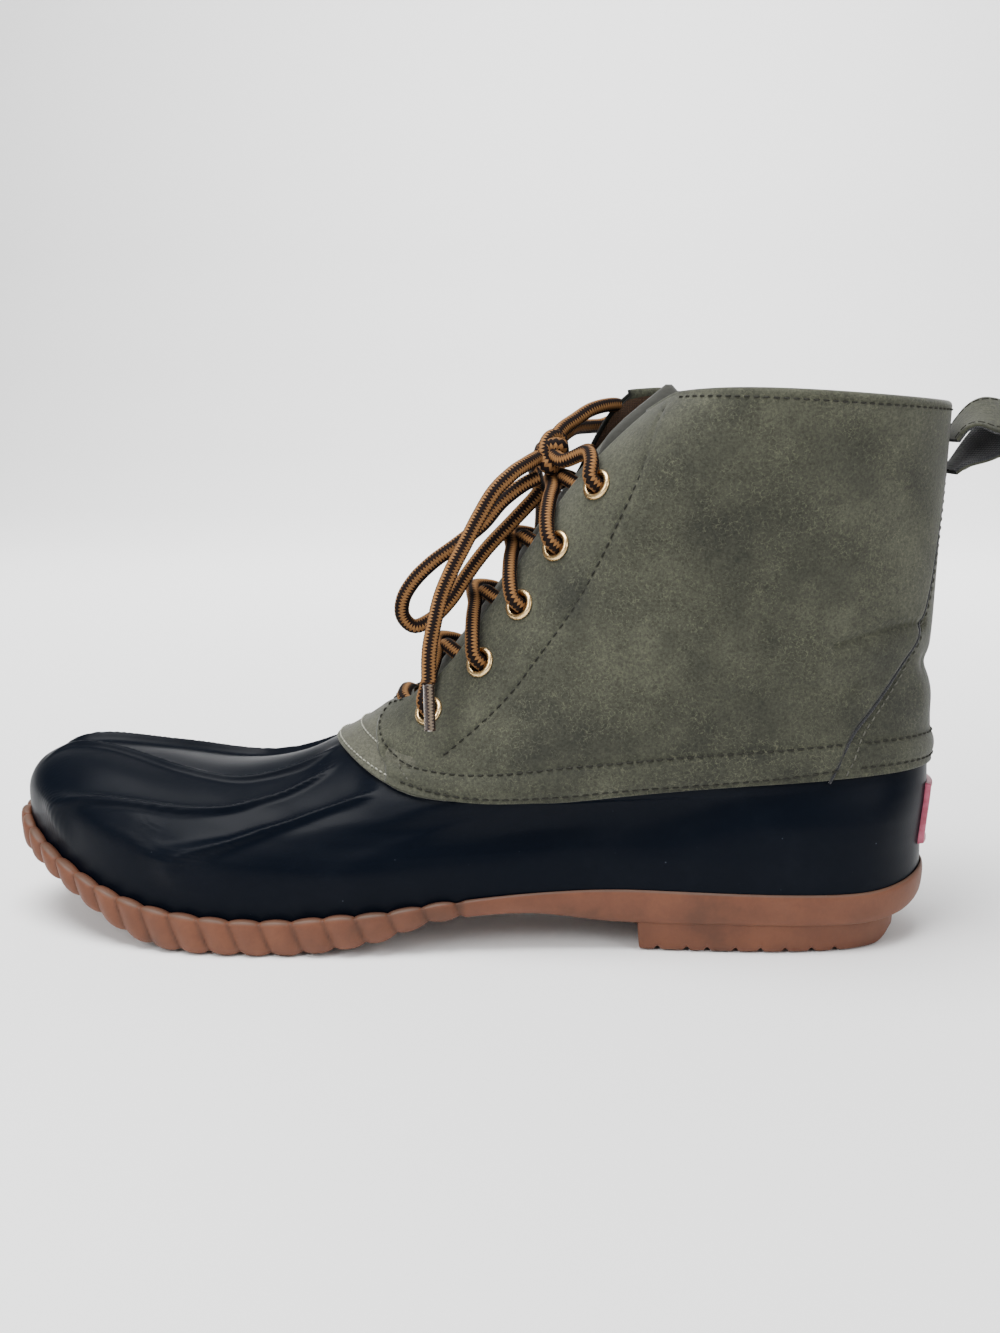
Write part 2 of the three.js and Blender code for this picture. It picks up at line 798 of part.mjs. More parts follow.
// Points of a strand from its eyelet to the next pair. Past is the distance beyond the quarter's edge,
// negative over the throat, on the strand's own side or the far one. Share is the way up to that pair.
const strandTable = table(
  ['side', 'past', 'share', 'offset'],
  [
    [1, 5.5, 0.24, overEyelet + clearance],
    [1, 0.5, 0.52, overEdge],
    [1, -5, 0.7, 2 * laceRadius + clearance],
    [1, -12.2, 0.86, onTongue],
    [-1, -5, 1, onTongue],
  ],
);

// A strand leaves its eyelet, climbs over the quarter's edge and crosses to under the other quarter.
function strand(index, side) {
  const start = eyelets[2 * index + (side < 0 ? 0 : 1)];
  const next = eyeletLevels[index + 1];
  const gap = throatGap(mix(start.level, next, 0.5));
  const route = strandTable.map(row => {
    const level = mix(start.level, next, row.share);
    return form(turnAcross(side * row.side * (gap + row.past), level), level, row.offset);
  });
  return cord([form(start.turn, start.level, overEyelet), ...route]);
}

function makeCrossing(index) {
  const first = toManifold(strand(index, outerSide));
  const second = toManifold(strand(index, innerSide));
  return closed(toGeometry(first.add(second)));
}

// Bow: the knot with the two strands that come up to it, its loops, ends and tips.
// Points are chosen by hand, as the lace lies.
const knotCentre = [-60.5, -4, 145];
const knotRadii = [6.2, 5.2, 4.2];

const nearLoopPoints = [
  [-64, -9, 138], [-68, -10.5, 136], [-74.5, -13, 131], [-80, -15, 124.5], [-87.5, -17, 118.5],
  [-95, -18, 113], [-100.5, -18, 107.5], [-103.7, -17.5, 102], [-104, -16.5, 97], [-101, -15, 93.7],
  [-96, -13, 95.5], [-90, -11, 101.5], [-85.5, -10, 108.5], [-79.5, -9, 116.5], [-71.5, -8, 125],
  [-65, -6, 132], [-63.5, -5.5, 134],
];
const nearEndPoints = [
  [-64.3, -8.2, 143.8], [-66.8, -12.5, 142.3], [-71, -17, 139.5], [-76, -20.5, 134.5], [-80.5, -22.5, 127],
  [-84.5, -24.5, 119], [-88, -26.5, 112], [-91, -28.5, 104.5], [-92.5, -30.5, 98], [-94, -33, 89],
  [-94, -35, 80],
];
const nearTipPoints = [[-94, -35.1, 79.5], [-93.5, -36.5, 66]];
const farLoopPoints = [
  [-59.3, -1, 149.7], [-57, 2.5, 152.5], [-53.5, 6, 155], [-49, 10, 158], [-44, 15, 159.5],
  [-40.5, 19.5, 159.5], [-39.5, 24, 158], [-41, 27.5, 155.5], [-45, 27, 153.5], [-49.5, 22.5, 153],
  [-54, 15.5, 152.5], [-57, 9.5, 150.5], [-58.5, 6, 148.8],
];
const farEndPoints = [
  [-65, 3, 141], [-66, 10.5, 140], [-65.5, 18.5, 135.5], [-64.5, 24.5, 128.5], [-65, 29, 119.5],
  [-66, 32.5, 109.5], [-67.5, 35.5, 99.5], [-69, 37.5, 90.5], [-70, 39, 82],
];
const farTipPoints = [[-70.1, 39.1, 81.4], [-71, 40.5, 68.5]];

const knotEntry = [3, 8, -2.5];
const topStrandRise = 0.4;
const topStrandPast = 5;

function makeKnot() {
  const lump = new THREE.SphereGeometry(1, 12, 8);
  lump.scale(...knotRadii);
  lump.translate(...knotCentre);
  let solid = toManifold(closed(lump));
  const centre = new THREE.Vector3(...knotCentre);
  for (const side of [outerSide, innerSide]) {
    const start = eyelets[2 * eyeletLevels.length - (side < 0 ? 2 : 1)];
    const level = start.level + topStrandRise;
    const overQuarter = turnAcross(side * (throatHalfGap + topStrandPast), level);
    const [back, out, up] = knotEntry;
    solid = solid.add(toManifold(cord([
      form(start.turn, start.level, overEyelet),
      form(overQuarter, level, overEyelet + 3 * clearance),
      centre.clone().add(new THREE.Vector3(back, side * out, up)),
      centre,
    ])));
  }
  return closed(toGeometry(solid));
}

function makeBowCord(points, radius = laceRadius) {
  return cord(points.map(point => new THREE.Vector3(...point)), radius);
}

const tipRadius = 0.75 * laceRadius;

add('sole', makeSole(), gum);
add('shell', makeShell(), rubber);
add('upper', makeUpper(), leather);
add('tongue', makeTongue(), leather);
add('insole', makeInsole(), lining);
add('heel_label', makeLabel(), labelRubber);
add('pull_loop', makePullLoop(), leather);

for (const eyelet of eyelets) {
  const side = eyelet.side < 0 ? 'outer' : 'inner';
  const mesh = add(`eyelet_${side}_${eyelet.index + 1}`, makeEyelet(), gold);
  const { position, quaternion } = eyeletPlace(eyelet, clearance);
  mesh.position.copy(position);
  mesh.quaternion.copy(quaternion);
}

for (const index of range(eyeletLevels.length - 1)) {
  add(`lace_crossing_${index + 1}`, makeCrossing(index), braid);
}

add('lace_knot', makeKnot(), braid);
add('lace_loop_near', makeBowCord(nearLoopPoints), braid);
add('lace_loop_far', makeBowCord(farLoopPoints), braid);
add('lace_end_near', makeBowCord(nearEndPoints), braid);
add('lace_end_far', makeBowCord(farEndPoints), braid);
add('lace_tip_near', makeBowCord(nearTipPoints, tipRadius), clearTip);
add('lace_tip_far', makeBowCord(farTipPoints, tipRadius), clearTip);

export default boot;
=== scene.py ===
import math
import bmesh
import bpy
import numpy as np
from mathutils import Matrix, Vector


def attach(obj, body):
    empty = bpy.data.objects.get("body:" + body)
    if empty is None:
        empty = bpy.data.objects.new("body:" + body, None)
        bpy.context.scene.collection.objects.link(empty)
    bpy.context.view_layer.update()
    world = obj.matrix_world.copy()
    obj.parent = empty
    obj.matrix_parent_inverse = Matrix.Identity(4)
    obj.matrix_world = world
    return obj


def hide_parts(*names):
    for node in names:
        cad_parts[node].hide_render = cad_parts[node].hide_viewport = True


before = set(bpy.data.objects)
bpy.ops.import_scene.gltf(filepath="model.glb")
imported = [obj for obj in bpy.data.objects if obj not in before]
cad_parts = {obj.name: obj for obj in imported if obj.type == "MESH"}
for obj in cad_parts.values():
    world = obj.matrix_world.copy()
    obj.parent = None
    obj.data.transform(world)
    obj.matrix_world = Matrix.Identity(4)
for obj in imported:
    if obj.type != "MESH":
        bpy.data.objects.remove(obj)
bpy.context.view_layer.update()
print("frame loaded")

mm = 0.001
outerSide, innerSide = -1, 1

# Camera at the photo's angle to the boot, level with the ankle and a little above the sole
cameraView = {"location": (-0.0395, -0.4645, 0.1539), "tilt": 80.9, "turn": 4.5, "lens": 40.97}
cameraData = bpy.data.cameras.new("cameraView")
cameraData.lens = cameraView["lens"]
cameraData.sensor_width = 36
cameraData.clip_start = 0.01
camera = bpy.data.objects.new("cameraView", cameraData)
camera.location = cameraView["location"]
camera.rotation_euler = (math.radians(cameraView["tilt"]), 0, math.radians(cameraView["turn"]))
bpy.context.collection.objects.link(camera)
bpy.context.scene.camera = camera

# The last that the boot is made on: sizes in millimetres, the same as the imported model's
last = {
    "length": 286.0, "originFromHeel": 55.0, "heelWidth": 68.0, "ballWidth": 99.0,
    "heelBlock": 8.5, "soleThickness": 10.0, "toeSpring": 23.0, "vampHeight": 55.0,
    "lineSide": 44.5, "lineBack": 53.5, "lineTop": 56.0, "collarHeight": 160.0,
    "lineFront": 183.0, "collarFront": 83.0, "collarBack": -0.5, "collarWidth": 77.0,
    "clearance": 0.3, "foxing": 3.5, "heelLip": 0.8, "heelScale": 0.96, "ballScale": 0.8,
    "ovalPower": 0.92, "egg": 0.1, "backSharpness": 1.6, "frontSharpness": 5.0,
    "soleWaist": (0.3, 0.62), "lastWaist": (0.2, 0.6),
}
# Plan of the sole: turn from the heel in degrees, then the outer and inner shares of the width there
planRows = np.array([
    [0, 0, 0], [15, 0.238, 0.238], [30, 0.422, 0.415], [45, 0.497, 0.479], [60, 0.509, 0.471],
    [75, 0.487, 0.418], [90, 0.448, 0.368], [105, 0.469, 0.437], [120, 0.481, 0.514],
    [135, 0.407, 0.485], [150, 0.27, 0.383], [165, 0.115, 0.243], [180, -0.04, 0.04],
])
# Sole along the length: place, shank, spring, thickness, rim, foxing
soleRows = np.array([
    [0.0, 1.5, 0, 0.94, 0.08, 0], [0.03, 1.15, 0, 0.98, 0.08, 0], [0.08, 1.0, 0, 0.96, 0.08, 0],
    [0.2, 1.0, 0, 0.98, 0.08, 0], [0.33, 1.02, 0, 1.0, 0.08, 0.05], [0.42, 1.33, 0, 0.62, 0.1, 0.15],
    [0.51, 1.08, 0, 0.55, 0.15, 0.6], [0.57, 0.44, 0, 0.86, 0.3, 0.9], [0.62, 0.14, 0, 1.02, 0.42, 1],
    [0.66, 0, 0, 1.02, 0.45, 1], [0.72, 0, 0, 1.02, 0.45, 1], [0.8, 0, 0.03, 1.12, 0.45, 1],
    [0.84, 0, 0.16, 1.02, 0.42, 1], [0.88, 0, 0.39, 0.8, 0.4, 1], [0.92, 0, 0.61, 0.7, 0.38, 1],
    [0.96, 0, 0.82, 0.72, 0.36, 0.9], [1.0, 0, 1.0, 0.92, 0.36, 0.7],
])
shank, spring, thickness, rim, foxing = 1, 2, 3, 4, 5
# Rings of the foot: setback, frontRise, rise, lean, heel, ball, oval, ovalWidth
shellRings = [
    [0.039, 0.49, 0, 0, 1, 1, 0, 0.9], [0.039, 0.6, 0.04, 0, 1, 1, 0, 0.9],
    [0.031, 0.76, 0.25, 0.004, 0.99, 0.94, 0, 0.9], [0.094, 0.91, 0.38, 0.003, 0.99, 0.91, 0, 0.9],
    [0.233, 0.97, 0.5, 0.002, 0.99, 0.85, 0.02, 0.9], [0.439, 0.925, 0.62, 0.001, 0.99, 0.8, 0.08, 0.9],
    [0.653, 0.865, 0.76, 0, 0.98, 0.78, 0.2, 0.9], [0.833, 0.9, 0.89, 0, 0.97, 0.79, 0.35, 0.9],
]
# Rings of the shaft: forward, frontRise, backRise, sideRise, lean, oval, ovalWidth
shaftRings = [
    [0, 0, 0, 0, 0.002, 0.5, 0.92], [0.17, 0.1, 0.1, 0.105, 0.012, 0.72, 0.9],
    [0.347, 0.253, 0.23, 0.246, 0.03, 0.95, 0.88], [0.48, 0.425, 0.4, 0.421, 0.018, 1, 0.87],
    [0.604, 0.598, 0.575, 0.596, 0.01, 1, 0.88], [0.73, 0.77, 0.74, 0.763, 0.002, 1, 0.91],
    [0.86, 0.895, 0.88, 0.904, -0.003, 1, 0.95], [1, 1, 0.991, 1.031, -0.006, 1, 1],
]
lineRing = len(shellRings)
collarRing = lineRing + len(shaftRings) - 1


def mix(low, high, share):
    return low + (high - low) * share


def smooth(low, high, value):
    share = np.clip((value - low) / (high - low), 0, 1)
    return share * share * (3 - 2 * share)


def along(rows, column, at):  # a table's column, smooth through its rows
    x, y = rows[:, 0], rows[:, column]
    before = np.maximum(np.arange(len(x)) - 1, 0)
    after = np.minimum(np.arange(len(x)) + 1, len(x) - 1)
    slope = (y[after] - y[before]) / (x[after] - x[before])
    at = np.clip(at, x[0], x[-1])
    i = np.clip(np.searchsorted(x, at, side="left") - 1, 0, len(x) - 2)
    step = x[i + 1] - x[i]
    t = (at - x[i]) / step
    rise = t * t * (3 - 2 * t)
    bend = t * (1 - t) * step * ((1 - t) * slope[i] - t * slope[i + 1])
    return mix(y[i], y[i + 1], rise) + bend


def soleBottom(forward):
    place = forward / last["length"]
    return along(soleRows, shank, place) * last["heelBlock"] + along(soleRows, spring, place) * last["toeSpring"]


def soleTop(forward):
    return soleBottom(forward) + along(soleRows, thickness, forward / last["length"]) * last["soleThickness"]


def soleFloor(forward):
    return soleTop(forward) - along(soleRows, rim, forward / last["length"]) * last["soleThickness"]


def wrapTurn(turn):
    return np.where(turn > 180, turn - 360, np.where(turn < -180, turn + 360, turn))


def planWidth(turn):
    ahead = (1 - np.cos(np.radians(turn))) / 2
    width = mix(last["heelWidth"], last["ballWidth"], smooth(*last["soleWaist"], ahead))
    share = np.where(turn < 0, along(planRows, 1, np.abs(turn)), along(planRows, 2, np.abs(turn)))
    return width * share


def planPoint(turn, inset):  # forward and sideways on the sole's outline, moved inwards by the inset
    def at(angle):
        wrapped = wrapTurn(angle)
        return last["length"] * (1 - np.cos(np.radians(wrapped))) / 2, np.sign(wrapped) * planWidth(wrapped)
    forward, sideways = at(turn)
    before, after = at(turn - 0.5), at(turn + 0.5)
    run = np.hypot(after[0] - before[0], after[1] - before[1])
    return (forward + inset * (after[1] - before[1]) / run, sideways - inset * (after[0] - before[0]) / run)


def rimThickness(turn):
    return mix(last["heelLip"], last["foxing"], along(soleRows, foxing, (1 - np.cos(np.radians(turn))) / 2))


def lastRing(index):  # one ring's sizes in millimetres
    collarDepth = last["collarFront"] - last["collarBack"]
    if index < lineRing:
        setback, frontRise, rise, lean, heel, ball, oval, ovalWidth = shellRings[index]
        return [mix(last["length"], last["lineFront"], setback), frontRise * last["vampHeight"],
                lean * last["length"], rise, 0, 0, heel, ball, oval, ovalWidth * last["collarWidth"] / 2]
    forward, frontRise, backRise, sideRise, lean, oval, ovalWidth = shaftRings[index - lineRing]
    return [mix(last["lineFront"], last["collarFront"], forward),
            mix(last["lineTop"], last["collarHeight"], frontRise), lean * collarDepth, 0,
            mix(last["lineBack"], last["collarHeight"], backRise),
            mix(last["lineSide"], last["collarHeight"], sideRise), last["heelScale"], last["ballScale"],
            oval, ovalWidth * last["collarWidth"] / 2]


lastRings = np.array([lastRing(index) for index in range(collarRing + 1)])


def ringPoint(turn, index):
    ring = np.moveaxis(lastRings[index], -1, 0)
    front, frontHeight, back, rise, backHeight, sideHeight, heel, ball, oval, half = ring
    cosine = np.cos(np.radians(turn))
    ahead = (1 - cosine) / 2
    forward = mix(back, front, ahead)
    scale = mix(heel, ball, smooth(*last["lastWaist"], ahead))
    sine = np.maximum(0, np.sin(np.radians(np.abs(turn))))
    ovalHalf = half * (1 - last["egg"] * cosine) * sine ** last["ovalPower"]
    width = mix(planWidth(turn) * scale - last["clearance"] * sine, ovalHalf, oval)
    foot = index < lineRing
    low = soleTop(forward)
    side = np.where(foot, mix(low, last["lineSide"], rise), sideHeight)
    rear = np.where(foot, mix(low, last["lineBack"], rise), backHeight)
    height = mix(side, rear, (1 - ahead) ** last["backSharpness"])
    height = mix(height, frontHeight, ahead ** last["frontSharpness"])
    rimForward, rimSideways = planPoint(turn, rimThickness(turn) + last["clearance"])
    rimHeight = np.where(index == 0, soleFloor(rimForward) + last["clearance"],
                         mix(soleTop(rimForward), last["lineSide"], rise))
    onRim = index < 2
    return np.stack([np.where(onRim, rimForward, forward),
                     np.where(onRim, rimSideways, np.where(turn < 0, -1, 1) * width),
                     np.where(onRim, rimHeight, height)], -1)


def lastPoint(turn, level):
    turn, level = np.broadcast_arrays(np.asarray(turn, float), np.asarray(level, float))
    turn = wrapTurn(turn)
    low = np.clip(np.floor(level), 0, collarRing - 1).astype(int)
    t = (level - low)[..., None]
    p0, p1 = ringPoint(turn, np.maximum(low - 1, 0)), ringPoint(turn, low)
    p2, p3 = ringPoint(turn, low + 1), ringPoint(turn, np.minimum(low + 2, collarRing))
    leave = (p2 - p0) / np.where(low > 0, 2, 1)[..., None]
    arrive = (p3 - p1) / np.where(low + 2 <= collarRing, 2, 1)[..., None]
    inside = mix(p1, p2, t * t * (3 - 2 * t)) + t * (1 - t) * ((1 - t) * leave - t * arrive)
    return np.where(t > 1, p2 + (p2 - p1) * (t - 1), inside)


def placed(points):  # forward, sideways and up in millimetres to the boot's frame in metres
    points = np.asarray(points, float)
    return np.stack([last["originFromHeel"] - points[..., 0], points[..., 1], points[..., 2]], -1) * mm


def lastNormal(turn, level):
    turn, level = np.broadcast_arrays(np.asarray(turn, float), np.asarray(level, float))
    across = placed(lastPoint(turn + 0.6, level)) - placed(lastPoint(turn - 0.6, level))
    up = placed(lastPoint(turn, level + 0.03)) - placed(lastPoint(turn, np.maximum(level - 0.03, 0)))
    normal = np.cross(across, up)
    return normal / np.linalg.norm(normal, axis=-1, keepdims=True)


def form(turn, level, offset=0.0):  # a point of the last moved out by so many millimetres
    return placed(lastPoint(turn, level)) + lastNormal(turn, level) * (np.asarray(offset, float) * mm)[..., None]


def turnAcross(across, level):  # the turn where a ring lies so far across from its front centre
    across, level = np.broadcast_arrays(np.asarray(across, float), np.asarray(level, float))
    side = np.where(across < 0, -1.0, 1.0)
    centre = lastPoint(180.0, level)[..., 1]
    near, far = np.full(across.shape, 180.0), np.full(across.shape, 90.0)
    for _ in range(26):
        middle = (near + far) / 2
        short = (lastPoint(side * middle, level)[..., 1] - centre) * side < np.abs(across)
        near, far = np.where(short, middle, near), np.where(short, far, middle)
    return side * (near + far) / 2


# Meshes from grids of points

def gridQuads(points, start, around):
    rows, columns = points.shape[:2]
    index = start + np.arange(rows * columns).reshape(rows, columns)
    if around:
        index = np.concatenate([index, index[:, :1]], 1)
    return np.stack([index[:-1, :-1], index[:-1, 1:], index[1:, 1:], index[1:, :-1]], -1).reshape(-1, 4)


def patch(points, material=0, around=False, keep=None, flip=False, markAndPaintedLight=None, uv=None):
    return {"points": points, "material": material, "around": around, "keep": keep, "flip": flip,
            "markAndPaintedLight": markAndPaintedLight, "uv": uv}


def makePiece(name, patches, materials, nodes=()):  # one joined mesh on the boot's body
    points, quads, marks, markAndPaintedLightRows, uvs, count = [], [], [], [], [], 0
    for item in patches:
        grid = item["points"]
        faces = gridQuads(grid, count, item["around"])
        if item["uv"] is not None:
            uvs.append(gridQuads(grid, 0, False))
        if item["keep"] is not None:
            faces = faces[item["keep"].reshape(-1)]
        if item["flip"]:
            faces = faces[:, ::-1]
        markAndPaintedLight = np.zeros(grid.shape[:2]) if item["markAndPaintedLight"] is None else np.broadcast_to(item["markAndPaintedLight"], grid.shape[:2])
        points.append(grid.reshape(-1, 3))
        quads.append(faces)
        marks.append(np.full(len(faces), item["material"]))
        markAndPaintedLightRows.append(markAndPaintedLight.reshape(-1))
        count += grid.shape[0] * grid.shape[1]
    allFaces = np.concatenate(quads)
    mesh = bpy.data.meshes.new(name)
    mesh.from_pydata(np.concatenate(points).tolist(), [], allFaces.tolist())
    mesh.polygons.foreach_set("material_index", np.concatenate(marks).astype(np.int32))
    mesh.polygons.foreach_set("use_smooth", np.ones(len(allFaces), bool))
    # This attribute carries real marks (leather edge paint, dust) and painted light on the gum: shade in the ripple
    # gaps, a highlight along the top edge.
    mesh.attributes.new("markAndPaintedLight", "FLOAT", "POINT").data.foreach_set("value", np.concatenate(markAndPaintedLightRows).astype(np.float32))
    if uvs:
        flat = np.concatenate([item["uv"].reshape(-1, 2) for item in patches])
        corners = np.zeros(len(mesh.loops), np.int32)
        mesh.loops.foreach_get("vertex_index", corners)
        mesh.uv_layers.new(name="braid").uv.foreach_set("vector", flat[corners].astype(np.float32).reshape(-1))
    for material in materials:
        mesh.materials.append(material)
    body = bmesh.new()
    body.from_mesh(mesh)
    bmesh.ops.delete(body, geom=[v for v in body.verts if not v.link_faces], context="VERTS")
    bmesh.ops.remove_doubles(body, verts=body.verts, dist=2e-6)
    body.to_mesh(mesh)
    body.free()
    piece = bpy.data.objects.new(name, mesh)
    bpy.context.collection.objects.link(piece)
    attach(piece, "root")
    if nodes:
        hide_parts(*nodes)
    return piece


def spline(points, spacing):  # an even run of points, in metres, along a smooth line through the given ones
    points = np.asarray(points, float)
    padded = np.concatenate([[2 * points[0] - points[1]], points, [2 * points[-1] - points[-2]]])
    knots = np.concatenate([[0], np.cumsum(np.linalg.norm(np.diff(padded, axis=0), axis=1) ** 0.5 + 1e-9)])
    run = []
    for i in range(1, len(padded) - 2):
        t0, t1, t2, t3 = knots[i - 1:i + 3]
        t = np.linspace(t1, t2, 24, endpoint=False)[:, None]
        a1 = (t1 - t) / (t1 - t0) * padded[i - 1] + (t - t0) / (t1 - t0) * padded[i]
        a2 = (t2 - t) / (t2 - t1) * padded[i] + (t - t1) / (t2 - t1) * padded[i + 1]
        a3 = (t3 - t) / (t3 - t2) * padded[i + 1] + (t - t2) / (t3 - t2) * padded[i + 2]
        b1 = (t2 - t) / (t2 - t0) * a1 + (t - t0) / (t2 - t0) * a2
        b2 = (t3 - t) / (t3 - t1) * a2 + (t - t1) / (t3 - t1) * a3
        run.append((t2 - t) / (t2 - t1) * b1 + (t - t1) / (t2 - t1) * b2)
    run = np.concatenate(run + [points[-1:]])
    walked = np.concatenate([[0], np.cumsum(np.linalg.norm(np.diff(run, axis=0), axis=1))])
    count = max(2, int(round(walked[-1] / spacing)) + 1)
    at = np.linspace(0, walked[-1], count)
    return np.stack([np.interp(at, walked, run[:, axis]) for axis in range(3)], 1)


def carriedFrames(path):  # tangent, side and up directions that don't twist along a path
    tangents = np.gradient(path, axis=0)
    tangents /= np.linalg.norm(tangents, axis=1, keepdims=True)
    side = np.cross(tangents[0], [0.0, 0.0, 1.0])
    if np.linalg.norm(side) < 0.1:
        side = np.cross(tangents[0], [0.0, 1.0, 0.0])
    sides = []
    for tangent in tangents:
        side = side - tangent * side.dot(tangent)
        side = side / np.linalg.norm(side)
        sides.append(side)
    sides = np.array(sides)
    return tangents, sides, np.cross(tangents, sides)


# Shader helpers and the node groups that several materials share

def linear(code):  # a colour such as 5f5f52 in linear values
    values = [int(code[i:i + 2], 16) / 255 for i in (0, 2, 4)]
    return tuple([v / 12.92 if v < 0.04045 else ((v + 0.055) / 1.055) ** 2.4 for v in values] + [1.0])


class Net:  # nodes and links of one tree
    def __init__(self, tree):
        self.tree = tree

    def add(self, kind, **settings):
        node = self.tree.nodes.new(kind)
        inputs = settings.pop("inputs", {})
        for key, value in settings.items():
            setattr(node, key, value)
        for key, value in inputs.items():
            self.feed(value, node.inputs[key])
        return node

    def feed(self, value, socket):
        if isinstance(value, bpy.types.NodeSocket):
            self.tree.links.new(value, socket)
        else:
            socket.default_value = value

    def math(self, operation, a, b=0.0, c=None, clamp=False):
        node = self.add("ShaderNodeMath", operation=operation, use_clamp=clamp, inputs={0: a, 1: b})
        if c is not None:
            self.feed(c, node.inputs[2])
        return node.outputs[0]

    def step(self, value, low, high):
        node = self.add("ShaderNodeMapRange", interpolation_type="SMOOTHSTEP",
                        inputs={"Value": value, "From Min": low, "From Max": high})
        return node.outputs[0]

    def blend(self, share, a, b, kind="MIX"):
        node = self.add("ShaderNodeMix", data_type="RGBA", blend_type=kind)
        self.feed(share, node.inputs[0])
        self.feed(a, node.inputs[6])
        self.feed(b, node.inputs[7])
        return node.outputs[2]

    def noise(self, place, scale, detail=3.0, roughness=0.55):
        return self.add("ShaderNodeTexNoise", inputs={"Vector": place, "Scale": scale, "Detail": detail,
                                                     "Roughness": roughness}).outputs["Fac"]


def newGroup(name, inputs, outputs):
    tree = bpy.data.node_groups.new(name, "ShaderNodeTree")
    for label, kind, value in inputs:
        socket = tree.interface.new_socket(name=label, in_out="INPUT", socket_type=kind)
        if value is not None:
            socket.default_value = value
    for label, kind in outputs:
        tree.interface.new_socket(name=label, in_out="OUTPUT", socket_type=kind)
    net = Net(tree)
    return tree, net, net.add("NodeGroupInput").outputs, net.add("NodeGroupOutput").inputs


floatSocket, colorSocket = "NodeSocketFloat", "NodeSocketColor"


def makeMottleGroup():  # cloudy patches of three tones, with fine speckle over them
    tree, net, given, out = newGroup(
        "mottle",
        [("Base", colorSocket, None), ("Light", colorSocket, None), ("Dark", colorSocket, None),
         ("Patch Scale", floatSocket, 26.0), ("Speckle Scale", floatSocket, 1300.0), ("Speckle", floatSocket, 0.3)],
        [("Color", colorSocket), ("Patches", floatSocket)])
    place = net.add("ShaderNodeTexCoord").outputs["Object"]
    large = net.noise(place, given["Patch Scale"], 4.0, 0.6)
    other = net.noise(place, net.math("MULTIPLY", given["Patch Scale"], 3.1), 5.0, 0.65)
    fine = net.noise(place, given["Speckle Scale"], 2.0, 0.7)
    patches = net.math("ADD", net.math("MULTIPLY", large, 0.65), net.math("MULTIPLY", other, 0.35))
    color = net.blend(net.step(patches, 0.47, 0.63), given["Base"], given["Light"])
    color = net.blend(net.step(patches, 0.5, 0.36), color, given["Dark"])
    speckle = net.math("MULTIPLY", net.math("SUBTRACT", fine, 0.5), net.math("MULTIPLY", given["Speckle"], 3.2))
    lift = net.math("ADD", 1.0, speckle)
    gray = net.add("ShaderNodeCombineColor", inputs={0: lift, 1: lift, 2: lift}).outputs[0]
    net.feed(net.blend(1.0, color, gray, "MULTIPLY"), out["Color"])
    net.feed(patches, out["Patches"])
    return tree


def makeGrainGroup():  # a height made of fine nap and softer pebbling
    tree, net, given, out = newGroup(
        "grain", [("Fine Scale", floatSocket, 2400.0), ("Fine", floatSocket, 0.5),
                  ("Pebble Scale", floatSocket, 620.0), ("Pebble", floatSocket, 0.5)],
        [("Height", floatSocket)])
    place = net.add("ShaderNodeTexCoord").outputs["Object"]
    fine = net.noise(place, given["Fine Scale"], 2.0, 0.6)
    pebble = net.noise(place, given["Pebble Scale"], 3.0, 0.5)
    total = net.math("ADD", net.math("MULTIPLY", fine, given["Fine"]), net.math("MULTIPLY", pebble, given["Pebble"]))
    net.feed(total, out["Height"])
    return tree


def makeVeinGroup():  # fine pale lines that run together over worn patches
    tree, net, given, out = newGroup(
        "veins", [("Color", colorSocket, None), ("Vein", colorSocket, None), ("Cell Scale", floatSocket, 760.0),
                  ("Width", floatSocket, 0.08), ("Strength", floatSocket, 0.6)],
        [("Color", colorSocket), ("Mask", floatSocket)])
    place = net.add("ShaderNodeTexCoord").outputs["Object"]
    bend = net.add("ShaderNodeTexNoise", inputs={"Vector": place, "Scale": 420.0, "Detail": 3.0})
    shift = net.add("ShaderNodeVectorMath", operation="SCALE", inputs={0: bend.outputs["Color"], "Scale": 0.0032})
    moved = net.add("ShaderNodeVectorMath", operation="ADD", inputs={0: place, 1: shift.outputs[0]}).outputs[0]
    cells = net.add("ShaderNodeTexVoronoi", feature="DISTANCE_TO_EDGE",
                    inputs={"Vector": moved, "Scale": given["Cell Scale"]})
    lines = net.step(cells.outputs["Distance"], given["Width"], 0.0)
    worn = net.step(net.noise(place, 70.0, 5.0, 0.7), 0.3, 0.62)
    broken = net.step(net.noise(place, 900.0, 2.0, 0.6), 0.38, 0.6)
    mask = net.math("MULTIPLY", net.math("MULTIPLY", lines, worn), net.math("MULTIPLY", broken, given["Strength"]))
    net.feed(net.blend(mask, given["Color"], given["Vein"]), out["Color"])
    net.feed(mask, out["Mask"])
    return tree


